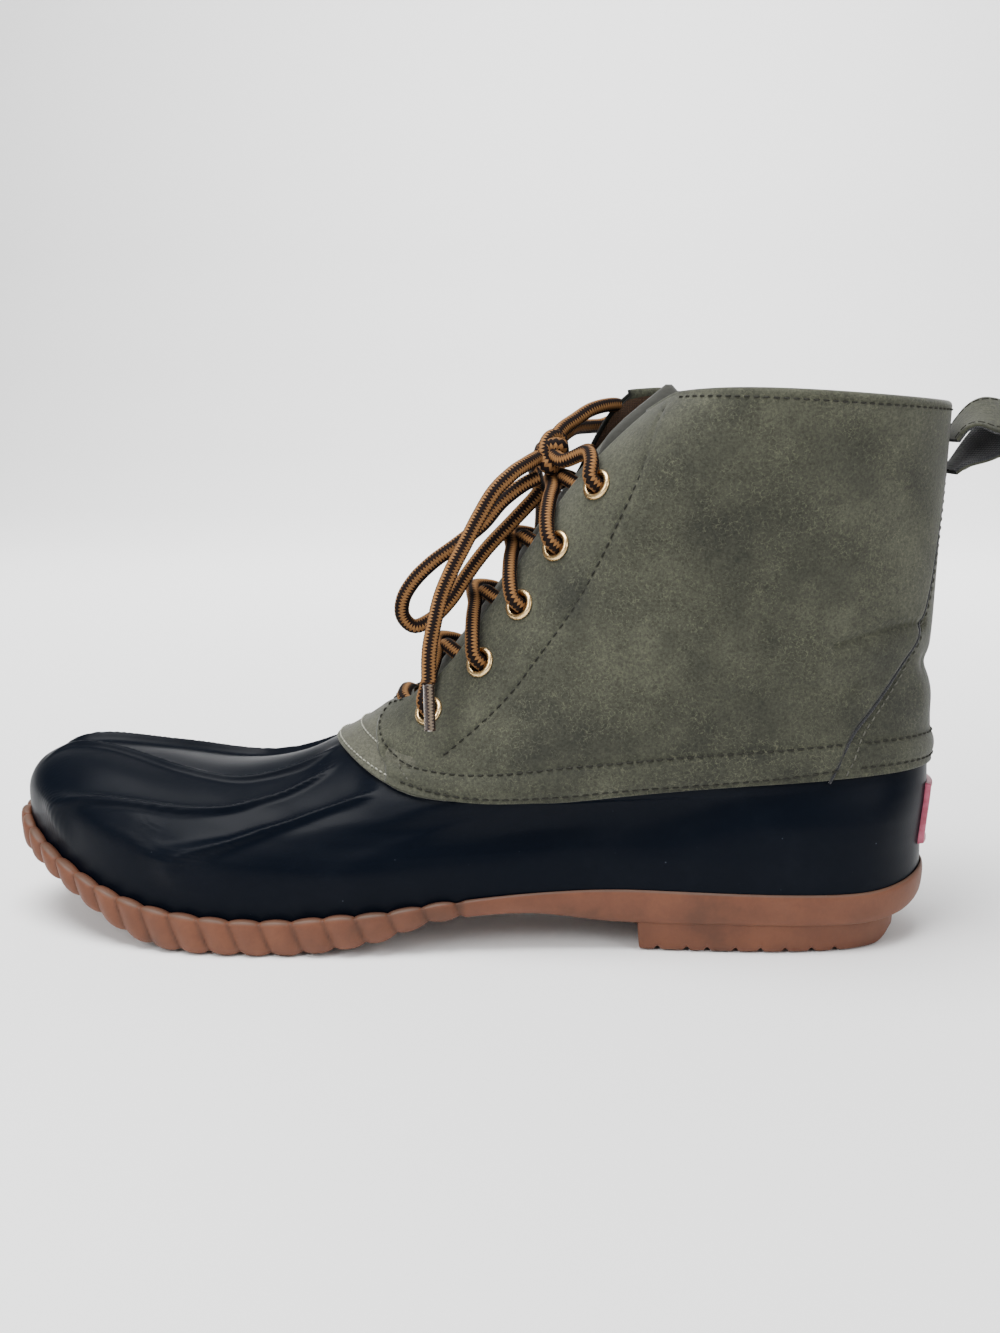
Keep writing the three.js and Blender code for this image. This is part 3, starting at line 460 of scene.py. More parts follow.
def makeDustGroup():  # pale specks and faint haze that settle on a surface
    tree, net, given, out = newGroup(
        "dust", [("Color", colorSocket, None), ("Dust", colorSocket, None), ("Speck Scale", floatSocket, 420.0),
                 ("Speck Size", floatSocket, 0.11), ("Haze", floatSocket, 0.1)],
        [("Color", colorSocket), ("Mask", floatSocket)])
    place = net.add("ShaderNodeTexCoord").outputs["Object"]
    cells = net.add("ShaderNodeTexVoronoi", inputs={"Vector": place, "Scale": given["Speck Scale"]})
    chosen = net.step(net.noise(place, 95.0, 3.0, 0.7), 0.53, 0.66)
    luck = net.add("ShaderNodeSeparateColor", inputs={0: cells.outputs["Color"]}).outputs[0]
    specks = net.step(cells.outputs["Distance"], given["Speck Size"], net.math("MULTIPLY", given["Speck Size"], 0.4))
    specks = net.math("MULTIPLY", net.math("MULTIPLY", specks, chosen), net.step(luck, 0.55, 0.9))
    haze = net.math("MULTIPLY", net.step(net.noise(place, 38.0, 6.0, 0.7), 0.45, 0.8), given["Haze"])
    mask = net.math("MAXIMUM", net.math("MULTIPLY", specks, 0.75), haze, clamp=True)
    net.feed(net.blend(mask, given["Color"], given["Dust"]), out["Color"])
    net.feed(mask, out["Mask"])
    return tree


groups = {"mottle": makeMottleGroup(), "grain": makeGrainGroup(), "veins": makeVeinGroup(),
          "dust": makeDustGroup()}


def newMaterial(name, roughness, color, **plain):
    material = bpy.data.materials.new(name)
    material.use_nodes = True
    material.diffuse_color = color
    net = Net(material.node_tree)
    shader = material.node_tree.nodes["Principled BSDF"]
    shader.inputs["Roughness"].default_value = roughness
    shader.inputs["Base Color"].default_value = color
    for label, value in plain.items():
        shader.inputs[label.replace("_", " ")].default_value = value
    return material, net, shader


def useGroup(net, name, **values):
    node = net.add("ShaderNodeGroup", node_tree=groups[name])
    for label, value in values.items():
        net.feed(value, node.inputs[label.replace("_", " ")])
    return node.outputs


def bumpFrom(net, shader, height, distance, strength=1.0):
    bump = net.add("ShaderNodeBump", inputs={"Height": height, "Distance": distance, "Strength": strength})
    net.feed(bump.outputs["Normal"], shader.inputs["Normal"])


nubuck = {"base": "2f3026", "light": "3d3e32", "dark": "21221b", "vein": "5a5b48", "edge": "12120f"}
shellRubber = {"base": "02060f", "dust": "4c535d"}
# Gum: the gap colour is painted shade for the ripple gaps; the dust colour is real dust, and also a painted highlight
# along the top edge and the ledge.
gumRubber = {"base": "58321f", "light": "623924", "dark": "4a2a19", "dust": "484139", "gap": "301b0d"}


def makeNubuck(name, base, light, dark):
    material, net, shader = newMaterial(name, 0.86, linear(base), Sheen_Weight=0.18, Sheen_Roughness=0.45,
                                        Specular_IOR_Level=0.28)
    tone = useGroup(net, "mottle", Base=linear(base), Light=linear(light), Dark=linear(dark), Patch_Scale=21.0,
                    Speckle_Scale=1150.0, Speckle=0.62)
    grain = useGroup(net, "grain", Fine_Scale=2300.0, Fine=0.5, Pebble_Scale=560.0, Pebble=0.7)
    edge = net.add("ShaderNodeAttribute", attribute_name="markAndPaintedLight").outputs["Fac"]
    veined = useGroup(net, "veins", Color=tone["Color"], Vein=linear(nubuck["vein"]))
    color = net.blend(edge, veined["Color"], linear(nubuck["edge"]))
    net.feed(color, shader.inputs["Base Color"])
    net.feed(net.math("MULTIPLY_ADD", tone["Patches"], -0.16, 0.93), shader.inputs["Roughness"])
    bumpFrom(net, shader, grain["Height"], 0.00022, 0.8)
    return material


def makeShellRubber():
    color = linear(shellRubber["base"])
    material, net, shader = newMaterial("shellRubber", 0.44, color, Specular_IOR_Level=0.065)
    dusty = useGroup(net, "dust", Color=color, Dust=linear(shellRubber["dust"]), Speck_Scale=330.0, Speck_Size=0.1,
                     Haze=0.02)
    grain = useGroup(net, "grain", Fine_Scale=1800.0, Fine=0.35, Pebble_Scale=260.0, Pebble=0.4)
    net.feed(dusty["Color"], shader.inputs["Base Color"])
    net.feed(net.math("MULTIPLY_ADD", dusty["Mask"], 0.4, 0.4), shader.inputs["Roughness"])
    bumpFrom(net, shader, grain["Height"], 0.00008, 0.6)
    return material


def makeGumRubber():
    material, net, shader = newMaterial("gumRubber", 0.62, linear(gumRubber["base"]), Specular_IOR_Level=0.35)
    tone = useGroup(net, "mottle", Base=linear(gumRubber["base"]), Light=linear(gumRubber["light"]),
                    Dark=linear(gumRubber["dark"]), Patch_Scale=30.0, Speckle_Scale=900.0, Speckle=0.08)
    edge = net.add("ShaderNodeAttribute", attribute_name="markAndPaintedLight").outputs["Fac"]
    # Positive values turn the gum grey: dust on the underside, and a painted highlight along the top edge and the
    # ledge.
    worn = net.math("MAXIMUM", edge, 0.0, clamp=True)
    dusty = useGroup(net, "dust", Color=tone["Color"], Dust=linear(gumRubber["dust"]), Speck_Scale=260.0,
                     Speck_Size=0.06, Haze=0.12)
    color = net.blend(worn, dusty["Color"], linear(gumRubber["dust"]))
    # Negative values paint shade: darker gum in the gaps between the ripples.
    color = net.blend(net.math("MULTIPLY", edge, -1.0, clamp=True), color, linear(gumRubber["gap"]))
    grain = useGroup(net, "grain", Fine_Scale=1500.0, Fine=0.4, Pebble_Scale=180.0, Pebble=0.5)
    net.feed(color, shader.inputs["Base Color"])
    net.feed(net.math("MULTIPLY_ADD", dusty["Mask"], 0.3, 0.58), shader.inputs["Roughness"])
    bumpFrom(net, shader, grain["Height"], 0.00012, 0.6)
    return material


def makeTextile(name, code, threads, depth):  # a plain woven cloth
    material, net, shader = newMaterial(name, 0.95, linear(code), Sheen_Weight=0.2)
    place = net.add("ShaderNodeTexCoord").outputs["Object"]
    tone = net.noise(place, 180.0, 4.0, 0.6)
    weave = []
    for direction in ("X", "Z"):
        wave = net.add("ShaderNodeTexWave", wave_type="BANDS", bands_direction=direction,
                       inputs={"Vector": place, "Scale": threads, "Distortion": 0.6, "Detail": 1.0})
        weave.append(wave.outputs["Fac"])
    height = net.math("MAXIMUM", weave[0], weave[1])
    lift = net.math("MULTIPLY_ADD", height, 0.5, net.math("MULTIPLY_ADD", tone, 0.5, 0.35))
    gray = net.add("ShaderNodeCombineColor", inputs={0: lift, 1: lift, 2: lift}).outputs[0]
    net.feed(net.blend(1.0, linear(code), gray, "MULTIPLY"), shader.inputs["Base Color"])
    bumpFrom(net, shader, height, depth, 0.8)
    return material


def makeThread(name, code):
    material, net, shader = newMaterial(name, 0.7, linear(code), Specular_IOR_Level=0.3)
    place = net.add("ShaderNodeTexCoord").outputs["Object"]
    lift = net.math("MULTIPLY_ADD", net.noise(place, 700.0, 2.0, 0.6), 1.3, 0.35)
    gray = net.add("ShaderNodeCombineColor", inputs={0: lift, 1: lift, 2: lift}).outputs[0]
    net.feed(net.blend(1.0, linear(code), gray, "MULTIPLY"), shader.inputs["Base Color"])
    bumpFrom(net, shader, net.noise(place, 3000.0, 1.0, 0.5), 0.0001, 0.6)
    return material


# The lace's second tan is a painted shade tone for the dips between the yarns.
lace = {"radius": 2.2, "stripePairs": 4, "tooth": 0.95, "toothShift": 0.16, "relief": 0.16, "step": 0.32, "sides": 28,
        "tan": "855f39", "tanShade": "4a301b", "dark": "0e0503"}


def makeBraid(name, tan, deep, dark, roughness, coat):
    material, net, shader = newMaterial(name, roughness, linear(tan), Coat_Weight=coat, Coat_Roughness=0.15,
                                        Specular_IOR_Level=0.15)
    where = net.add("ShaderNodeSeparateXYZ", inputs={0: net.add("ShaderNodeUVMap", uv_map="braid").outputs[0]})
    around, run = where.outputs[0], where.outputs[1]
    tooth = net.math("PINGPONG", net.math("DIVIDE", run, lace["tooth"]), 0.5)
    shifted = net.math("MULTIPLY_ADD", net.math("SUBTRACT", tooth, 0.25), lace["toothShift"] * 4,
                       net.math("MULTIPLY", around, lace["stripePairs"]))
    stripe = net.math("PINGPONG", shifted, 0.5)
    mask = net.step(stripe, 0.2, 0.24)
    yarn = net.math("ABSOLUTE", net.math("SINE", net.math("MULTIPLY", run, math.pi / lace["tooth"])))
    place = net.add("ShaderNodeTexCoord").outputs["Object"]
    fuzz = net.noise(place, 2600.0, 2.0, 0.6)
    # Painted shade: the colour falls to the deep tone in the dips between yarns, where the tube's relief sinks, with
    # random fuzz over it.
    tanWithShade = net.blend(net.math("MULTIPLY", net.math("ADD", yarn, fuzz), 0.6, clamp=True), linear(deep), linear(tan))
    net.feed(net.blend(mask, tanWithShade, linear(dark)), shader.inputs["Base Color"])
    bumpFrom(net, shader, fuzz, 0.0001, 0.7)
    return material


def makeGold():
    material, net, shader = newMaterial("paleGold", 0.24, (0.72, 0.5, 0.24, 1), Metallic=1.0)
    place = net.add("ShaderNodeTexCoord").outputs["Object"]
    worn = net.noise(place, 500.0, 4.0, 0.65)
    net.feed(net.blend(net.step(worn, 0.4, 0.75), (0.76, 0.54, 0.27, 1), (0.52, 0.34, 0.14, 1)),
             shader.inputs["Base Color"])
    net.feed(net.math("MULTIPLY_ADD", worn, 0.3, 0.12), shader.inputs["Roughness"])
    bumpFrom(net, shader, net.noise(place, 1500.0, 2.0, 0.5), 0.00004, 0.5)
    return material


def makeLabelRubber(name, code):
    material, net, shader = newMaterial(name, 0.45, linear(code))
    place = net.add("ShaderNodeTexCoord").outputs["Object"]
    tone = net.noise(place, 220.0, 4.0, 0.6)
    net.feed(net.blend(net.step(tone, 0.35, 0.75), linear(code), linear("7d2038")), shader.inputs["Base Color"])
    bumpFrom(net, shader, net.noise(place, 1400.0, 2.0, 0.5), 0.00008, 0.5)
    return material


materials = {
    "nubuck": makeNubuck("nubuck", nubuck["base"], nubuck["light"], nubuck["dark"]),
    "apron": makeNubuck("apronNubuck", "393930", "47473c", "2b2b24"),
    "shell": makeShellRubber(),
    "gum": makeGumRubber(),
    "lining": makeTextile("liningCloth", "553d2b", 420.0, 0.00025),
    "blackCloth": makeTextile("blackBacking", "15161a", 520.0, 0.0002),
    "darkRoll": makeTextile("tongueBinding", "33332e", 900.0, 0.0001),
    "darkThread": makeThread("darkThread", "17170f"),
    "grayThread": makeThread("grayThread", "4a4a42"),
    "paleThread": makeThread("paleThread", "8c8c80"),
    "braid": makeBraid("laceBraid", lace["tan"], lace["tanShade"], lace["dark"], 0.8, 0.0),
    "tip": makeBraid("laceTip", "6e6050", "4b3f32", "21120c", 0.22, 1.0),
    "gold": makeGold(),
    "label": makeLabelRubber("labelRubber", "6f1830"),
    # The label's paler edge is a lighter copy of the label rubber: a painted highlight.
    "labelEdgeHighlight": makeLabelRubber("labelEdgeHighlight", "a04a60"),
}
print("materials made")


# Laces: a braided tube whose yarns stand out, with its stripes told by a map

def braidTube(path, radius, material, relief=1.0, ends=True):  # patches of a tube along an even path
    tangents, sides, ups = carriedFrames(path)
    walked = np.concatenate([[0], np.cumsum(np.linalg.norm(np.diff(path, axis=0), axis=1))]) / mm
    around = np.linspace(0, 1, lace["sides"] + 1)
    tooth = np.abs((walked / lace["tooth"]) % 1.0 - 0.5)[:, None]
    stripe = np.abs((around[None, :] * lace["stripePairs"] + (0.25 - tooth) * lace["toothShift"] * 4) % 1.0 - 0.5)
    yarn = np.abs(np.sin(np.pi * (walked[:, None] / lace["tooth"] + np.where(stripe > 0.25, 0.5, 0.0))))
    valley = np.clip(np.abs(stripe - 0.25) / 0.08, 0, 1) ** 0.5
    bump = lace["relief"] * relief * (yarn * valley - 0.55)
    size = (radius + bump) * mm
    angle = 2 * np.pi * around
    grid = path[:, None] + size[..., None] * (np.cos(angle)[None, :, None] * sides[:, None]
                                              + np.sin(angle)[None, :, None] * ups[:, None])
    uv = np.stack(np.broadcast_arrays(around[None, :], walked[:, None]), -1)
    made = [patch(grid, material, uv=uv)]
    if ends:
        for at, flip in ((0, True), (-1, False)):
            centre = np.broadcast_to(path[at], grid[at].shape)
            cap = np.stack([grid[at], mix(grid[at], centre, 0.55), centre])
            made.append(patch(cap, material, flip=not flip, uv=np.stack([uv[at]] * 3)))
    return made


lacePlan = {"eyeletLevels": [9.3, 10.22, 11.15, 12.08, 13.05], "eyeletSetback": 11.0, "throatHalfGap": 12.5,
            "throatBase": 9.0, "throatRound": 0.5, "throatFlare": 0.25, "flareFrom": 12.0}
leatherTop = 1.9


def throatGap(level):
    opened = np.clip((level - lacePlan["throatBase"]) / lacePlan["throatRound"], 0, 1)
    flare = 1 + lacePlan["throatFlare"] * smooth(lacePlan["flareFrom"], collarRing, level)
    return lacePlan["throatHalfGap"] * np.sqrt(opened) * flare


def findEyelet(level, side):  # the turn a set distance back from the throat's edge
    edgeLevel = max(level, lacePlan["throatBase"] + lacePlan["throatRound"])
    start = float(turnAcross(side * throatGap(edgeLevel), edgeLevel))
    turns = start - side * np.arange(0, 40, 0.05)
    points = form(turns, level)
    walked = np.concatenate([[0], np.cumsum(np.linalg.norm(np.diff(points, axis=0), axis=1))]) / mm
    return float(np.interp(lacePlan["eyeletSetback"], walked, turns))


eyelets = [{"index": index, "side": side, "level": level, "turn": findEyelet(level, side)}
           for index, level in enumerate(lacePlan["eyeletLevels"]) for side in (outerSide, innerSide)]
for eyelet in eyelets:
    eyelet["centre"] = form(eyelet["turn"], eyelet["level"], leatherTop)
    eyelet["normal"] = lastNormal(eyelet["turn"], eyelet["level"])


def eyeletAt(index, side):
    return eyelets[2 * index + (0 if side == outerSide else 1)]


def acrossPoint(across, level, offset):
    return form(turnAcross(across, level), level, offset)


def leaveEyelet(index, side):  # the lace from under the leather, up through an eyelet and over its rim
    start = eyeletAt(index, side)
    level, turn = start["level"], start["turn"]
    return [form(turn - side * 1.5, level - 0.06, -2.6), form(turn - side * 0.4, level - 0.02, -0.4),
            form(turn, level, 2.0), form(turn + side * 1.6, level + 0.05, 4.4)]


def enterEyelet(index, side):  # the lace under the leather on its way to an eyelet, from the throat
    goal = eyeletAt(index, side)
    gap = float(throatGap(goal["level"]))
    return [acrossPoint(side * (gap - 1.5), goal["level"] - 0.03, 0.2),
            acrossPoint(side * (gap + 3.5), goal["level"] - 0.03, -2.4),
            form(goal["turn"] - side * 1.5, goal["level"] - 0.06, -2.6)]


def strandPath(index, side):
    level, above = lacePlan["eyeletLevels"][index], lacePlan["eyeletLevels"][index + 1]
    gap = float(throatGap(mix(level, above, 0.5)))
    over = 5.6 if side == outerSide else 2.0
    middle = [acrossPoint(side * (gap + 5.0), mix(level, above, 0.26), 5.3),
              acrossPoint(side * (gap + 0.6), mix(level, above, 0.55), 4.7),
              acrossPoint(side * (gap - 4.5), mix(level, above, 0.74), 3.9),
              acrossPoint(side * 0.4, mix(level, above, 0.88), over),
              acrossPoint(-side * (gap - 5.5), mix(level, above, 0.97), 2.3)]
    return leaveEyelet(index, side) + middle + enterEyelet(index + 1, -side)


for index in range(len(lacePlan["eyeletLevels"]) - 1):
    patches = []
    for side in (outerSide, innerSide):
        patches += braidTube(spline(strandPath(index, side), lace["step"] * mm), lace["radius"], 0)
    if index == 0:  # the bar at the bottom, under the leather
        ends = [enterEyelet(0, side)[::-1] for side in (outerSide, innerSide)]
        bar = ends[0] + [acrossPoint(0.2, lacePlan["eyeletLevels"][0] + 0.02, 0.5)] + ends[1][::-1]
        patches += braidTube(spline(bar, lace["step"] * mm), lace["radius"], 0)
    makePiece(f"laceCrossing{index + 1}", patches, [materials["braid"]], [f"lace_crossing_{index + 1}"])

# Bow: routes given one by one, as the lace lies
bow = {
    "knot": (-0.0605, -0.004, 0.145),
    "nearLoop": [(-0.064, -0.009, 0.138), (-0.068, -0.0105, 0.136), (-0.0745, -0.013, 0.131), (-0.08, -0.015, 0.1245),
                 (-0.0875, -0.017, 0.1185), (-0.095, -0.018, 0.113), (-0.1005, -0.018, 0.1075),
                 (-0.1037, -0.0175, 0.102), (-0.104, -0.0165, 0.097), (-0.101, -0.015, 0.0937),
                 (-0.096, -0.013, 0.0955), (-0.09, -0.011, 0.1015), (-0.0855, -0.01, 0.1085),
                 (-0.0795, -0.009, 0.1165), (-0.0715, -0.008, 0.125), (-0.065, -0.006, 0.132),
                 (-0.0635, -0.0055, 0.134)],
    "nearEnd": [(-0.0643, -0.0082, 0.1438), (-0.0668, -0.0125, 0.1423), (-0.071, -0.017, 0.1395),
                (-0.076, -0.0205, 0.1345), (-0.0805, -0.0225, 0.127), (-0.0845, -0.0245, 0.119),
                (-0.088, -0.0265, 0.112), (-0.091, -0.0285, 0.1045), (-0.0925, -0.0305, 0.098),
                (-0.094, -0.033, 0.089), (-0.094, -0.035, 0.08)],
    "nearTip": [(-0.094, -0.0351, 0.0795), (-0.0935, -0.0365, 0.066)],
    "farLoop": [(-0.0593, -0.001, 0.1497), (-0.057, 0.0025, 0.1525), (-0.0535, 0.006, 0.155), (-0.049, 0.01, 0.158),
                (-0.044, 0.015, 0.1595), (-0.0405, 0.0195, 0.1595), (-0.0395, 0.024, 0.158),
                (-0.041, 0.0275, 0.1555), (-0.045, 0.027, 0.1535), (-0.0495, 0.0225, 0.153),
                (-0.054, 0.0155, 0.1525), (-0.057, 0.0095, 0.1505), (-0.0585, 0.006, 0.1488)],
    "farEnd": [(-0.065, 0.003, 0.141), (-0.066, 0.0105, 0.14), (-0.0655, 0.0185, 0.1355), (-0.0645, 0.0245, 0.1285),
               (-0.065, 0.029, 0.1195), (-0.066, 0.0325, 0.1095), (-0.0675, 0.0355, 0.0995),
               (-0.069, 0.0375, 0.0905), (-0.07, 0.039, 0.082)],
    "farTip": [(-0.0701, 0.0391, 0.0814), (-0.071, 0.0405, 0.0685)],
    "tipRadius": 1.65,
}


def makeKnot():
    centre = np.array(bow["knot"])
    out = np.array([-0.72, -0.42, 0.55])
    out /= np.linalg.norm(out)
    run = np.array([0.62, 0.1, 0.75])
    run -= out * run.dot(out)
    run /= np.linalg.norm(run)
    across = np.cross(out, run)
    patches = []
    coils = [  # tilt of the coil, its two radii in millimetres, and how far it sits along the knot
        {"tilt": 0.5, "wide": 4.4, "deep": 2.6, "shift": -1.6}, {"tilt": 0.95, "wide": 4.9, "deep": 2.9, "shift": 1.3},
        {"tilt": -0.9, "wide": 4.2, "deep": 2.2, "shift": 0.2},
    ]
    for coil in coils:
        angle = np.linspace(0, 2 * np.pi, 15)[:, None]
        lean = math.cos(coil["tilt"]) * across + math.sin(coil["tilt"]) * run
        ring = centre + run * coil["shift"] * mm + mm * (coil["wide"] * np.cos(angle) * lean
                                                         + coil["deep"] * np.sin(angle) * out)
        patches += braidTube(spline(ring, lace["step"] * mm), lace["radius"], 0)
    for side in (outerSide, innerSide):
        level = lacePlan["eyeletLevels"][-1]
        gap = float(throatGap(level + 0.4))
        middle = [acrossPoint(side * (gap + 5.0), level + 0.3, 5.0), acrossPoint(side * (gap + 0.5), level + 0.42, 5.0)]
        inward = [centre + [0.004, side * 0.0065, -0.002], centre + [0.0005, side * 0.002, 0.0]]
        route = leaveEyelet(len(lacePlan["eyeletLevels"]) - 1, side) + middle + inward
        patches += braidTube(spline(route, lace["step"] * mm), lace["radius"], 0)
    return makePiece("laceKnot", patches, [materials["braid"]], ["lace_knot"])


def makeBowCord(name, points, node):
    path = spline(points, lace["step"] * mm)
    piece = makePiece(name, braidTube(path, lace["radius"], 0), [materials["braid"]], [node])
    return piece


def makeTip(name, points, node):
    path = spline(points, 0.4 * mm)
    return makePiece(name, braidTube(path, bow["tipRadius"], 0, relief=0.15), [materials["tip"]], [node])


laceKnot = makeKnot()
nearTip = makeTip("laceTipNear", bow["nearTip"], "lace_tip_near")
farTip = makeTip("laceTipFar", bow["farTip"], "lace_tip_far")
makeBowCord("laceLoopNear", bow["nearLoop"], "lace_loop_near")
makeBowCord("laceLoopFar", bow["farLoop"], "lace_loop_far")
makeBowCord("laceEndNear", bow["nearEnd"], "lace_end_near")
makeBowCord("laceEndFar", bow["farEnd"], "lace_end_far")
print("laces made")


# Eyelets: turned rings with a rolled flange

eyeletShape = {"sides": 40, "profile": [
    (2.9, -2.0), (2.9, -0.6), (2.92, 0.2), (3.05, 0.62), (3.35, 0.88), (3.8, 0.95), (4.3, 0.8), (4.62, 0.5),
    (4.75, 0.15), (4.7, -0.15), (4.2, -0.2), (3.4, -0.3), (3.35, -2.0), (2.9, -2.0)]}


def makeEyelet(eyelet):
    normal = eyelet["normal"]
    side = np.cross(normal, [0.0, 1.0, 0.0])
    side /= np.linalg.norm(side)
    up = np.cross(normal, side)
    angle = np.linspace(0, 2 * np.pi, eyeletShape["sides"], endpoint=False)
    radial = np.cos(angle)[:, None] * side + np.sin(angle)[:, None] * up
    grid = np.stack([eyelet["centre"] + mm * (radius * radial + height * normal)
                     for radius, height in eyeletShape["profile"]])
    label = "outer" if eyelet["side"] == outerSide else "inner"
    number = eyelet["index"] + 1
    return makePiece(f"eyelet{label.capitalize()}{number}", [patch(grid, 0, around=True, flip=True)],
                     [materials["gold"]], [f"eyelet_{label}_{number}"])


for eyelet in eyelets:
    makeEyelet(eyelet)


# Sole: gum rubber, with a rippled foxing round the forefoot and a notched heel block

soleShape = {
    "step": 0.55, "rippleStart": 139.4, "ripplePitch": 9.4, "rippleDepth": 1.9, "rippleSlant": 0.36,
    "rippleTop": 1.0, "rippleFoot": 1.1, "undercut": 1.7,
    "notchPitch": 9.5, "notchStart": 171.6, "notchCount": 10, "notchWidth": 2.6, "notchDepth": 1.3,
    "blockFront": 88.5, "blockInset": 1.2, "blockRound": 10.0, "blockSlant": 1.0, "blockCorner": 1.6,
    "blockNotches": [81.8, 73.2, 67.2, 58.9, 51.6, 44.3, 36.5, 29.6], "blockNotchWidth": 2.4,
    "blockNotchDepth": 1.25, "heelRise": 3.4, "heelRiseLength": 6.0,
}
# Profile of the edge: share of the height, then how far in from the outline, in millimetres
edgeProfile = np.array([
    [0.0, 2.3], [0.0, 1.7], [0.03, 1.2], [0.08, 0.85], [0.16, 0.55], [0.26, 0.35], [0.38, 0.2], [0.5, 0.08],
    [0.62, 0.02], [0.74, 0.0], [0.84, 0.05], [0.92, 0.2], [0.97, 0.45], [1.0, 0.8],
])


def evenTurns(step):  # turns that lie evenly along the sole's outline
    turns = np.linspace(-180, 180, 7201)
    forward, sideways = planPoint(turns, 0.0)
    walked = np.concatenate([[0], np.cumsum(np.hypot(np.diff(forward), np.diff(sideways)))])
    count = int(walked[-1] / step)
    at = np.linspace(0, walked[-1], count, endpoint=False)
    return np.interp(at, walked, turns), at, walked[-1]


def notchRise(forward, places, width, depth):
    rise = np.zeros_like(forward)
    for place in places:
        rise = np.maximum(rise, depth * np.clip(1 - np.abs(forward - place) / (width / 2), 0, 1))
    return rise


def makeSole():
    turns, walked, total = evenTurns(soleShape["step"])
    forward, sideways = planPoint(turns, 0.0)
    treadPlaces = soleShape["notchStart"] + soleShape["notchPitch"] * np.arange(soleShape["notchCount"])
    bottom, top = soleBottom(forward), soleTop(forward)
    # Ripples run from their start on the outer side, round the toe, to their start on the inner side.
    front = smooth(soleShape["rippleStart"] - 2, soleShape["rippleStart"] + 1, forward)
    # The outline starts at the toe, so the distance from the toe counts both ways.
    fromToe = np.minimum(walked, total - walked)
    outerRun = fromToe[(turns < 0) & (front > 0.5)].max()
    innerRun = fromToe[(turns > 0) & (front > 0.5)].max()
    count = round((outerRun + innerRun) / soleShape["ripplePitch"])
    pitch = (outerRun + innerRun) / count
    place = np.where(turns < 0, outerRun - fromToe, outerRun + fromToe)
    lean = np.clip((place - outerRun) / 25, -1, 1)

    def lobe(height):
        shifted = place + lean * soleShape["rippleSlant"] * height
        return np.abs(np.sin(np.pi * np.clip(shifted, 0, outerRun + innerRun) / pitch)) ** 0.62

    rows, markAndPaintedLightRows = [], []
    centre = placed(np.stack([forward, 0 * forward, bottom], -1))
    for share, inset in edgeProfile:
        ripple = lobe(share * (top - bottom)) * front
        swell = soleShape["rippleDepth"] * math.sin(math.pi * min(1.0, 0.12 + 0.8 * share)) ** 0.5
        out = front * swell * (ripple - 0.75)
        rowForward, rowSideways = planPoint(turns, inset - out)
        low = bottom + front * soleShape["rippleFoot"] * (1 - ripple) * max(0.0, 1 - share * 3)
        high = top + front * soleShape["rippleTop"] * (ripple - 0.55)
        height = mix(low, high, share)
        if share == 0:
            height = height + notchRise(forward, treadPlaces, soleShape["notchWidth"], soleShape["notchDepth"])
        rows.append(placed(np.stack([rowForward, rowSideways, height], -1)))
        # Painted shade: the gaps between ripples get negative values, which darken the gum there.
        gapShade = -0.7 * front * (1 - ripple) ** 2.5
        # The top row gets 0.5, a pale grey painted highlight along the top edge.
        markAndPaintedLightRows.append(np.where(gapShade < -0.15, gapShade, 0.5 if share >= 0.97 else 0.0))
    high = top + front * soleShape["rippleTop"] * (lobe(top - bottom) - 0.55)
    for share, height in ((0.55, high), (1.0, high - 0.1), (1.0, soleFloor(forward))):
        inset = mix(0.8, rimThickness(turns), share)
        rowForward, rowSideways = planPoint(turns, inset)
        rows.append(placed(np.stack([rowForward, rowSideways, height], -1)))
        # The ledge's first row gets 0.3, pale grey as a painted highlight.
        markAndPaintedLightRows.append(np.full(len(turns), 0.3 if share < 1 else 0.0))
    # The underside runs in from the edge to the middle line at the same distance from the heel.
    edge = rows[0]
    under = [mix(np.stack([edge[:, 0], 0 * edge[:, 1], edge[:, 2]], -1), edge, share)
             for share in (0.0, 0.3, 0.6, 0.85)]
    grid = np.stack(under + rows)
    markAndPaintedLight = np.array([np.full(len(turns), 0.25)] * len(under) + markAndPaintedLightRows)
    return [patch(grid, 0, around=True, markAndPaintedLight=markAndPaintedLight)], centre


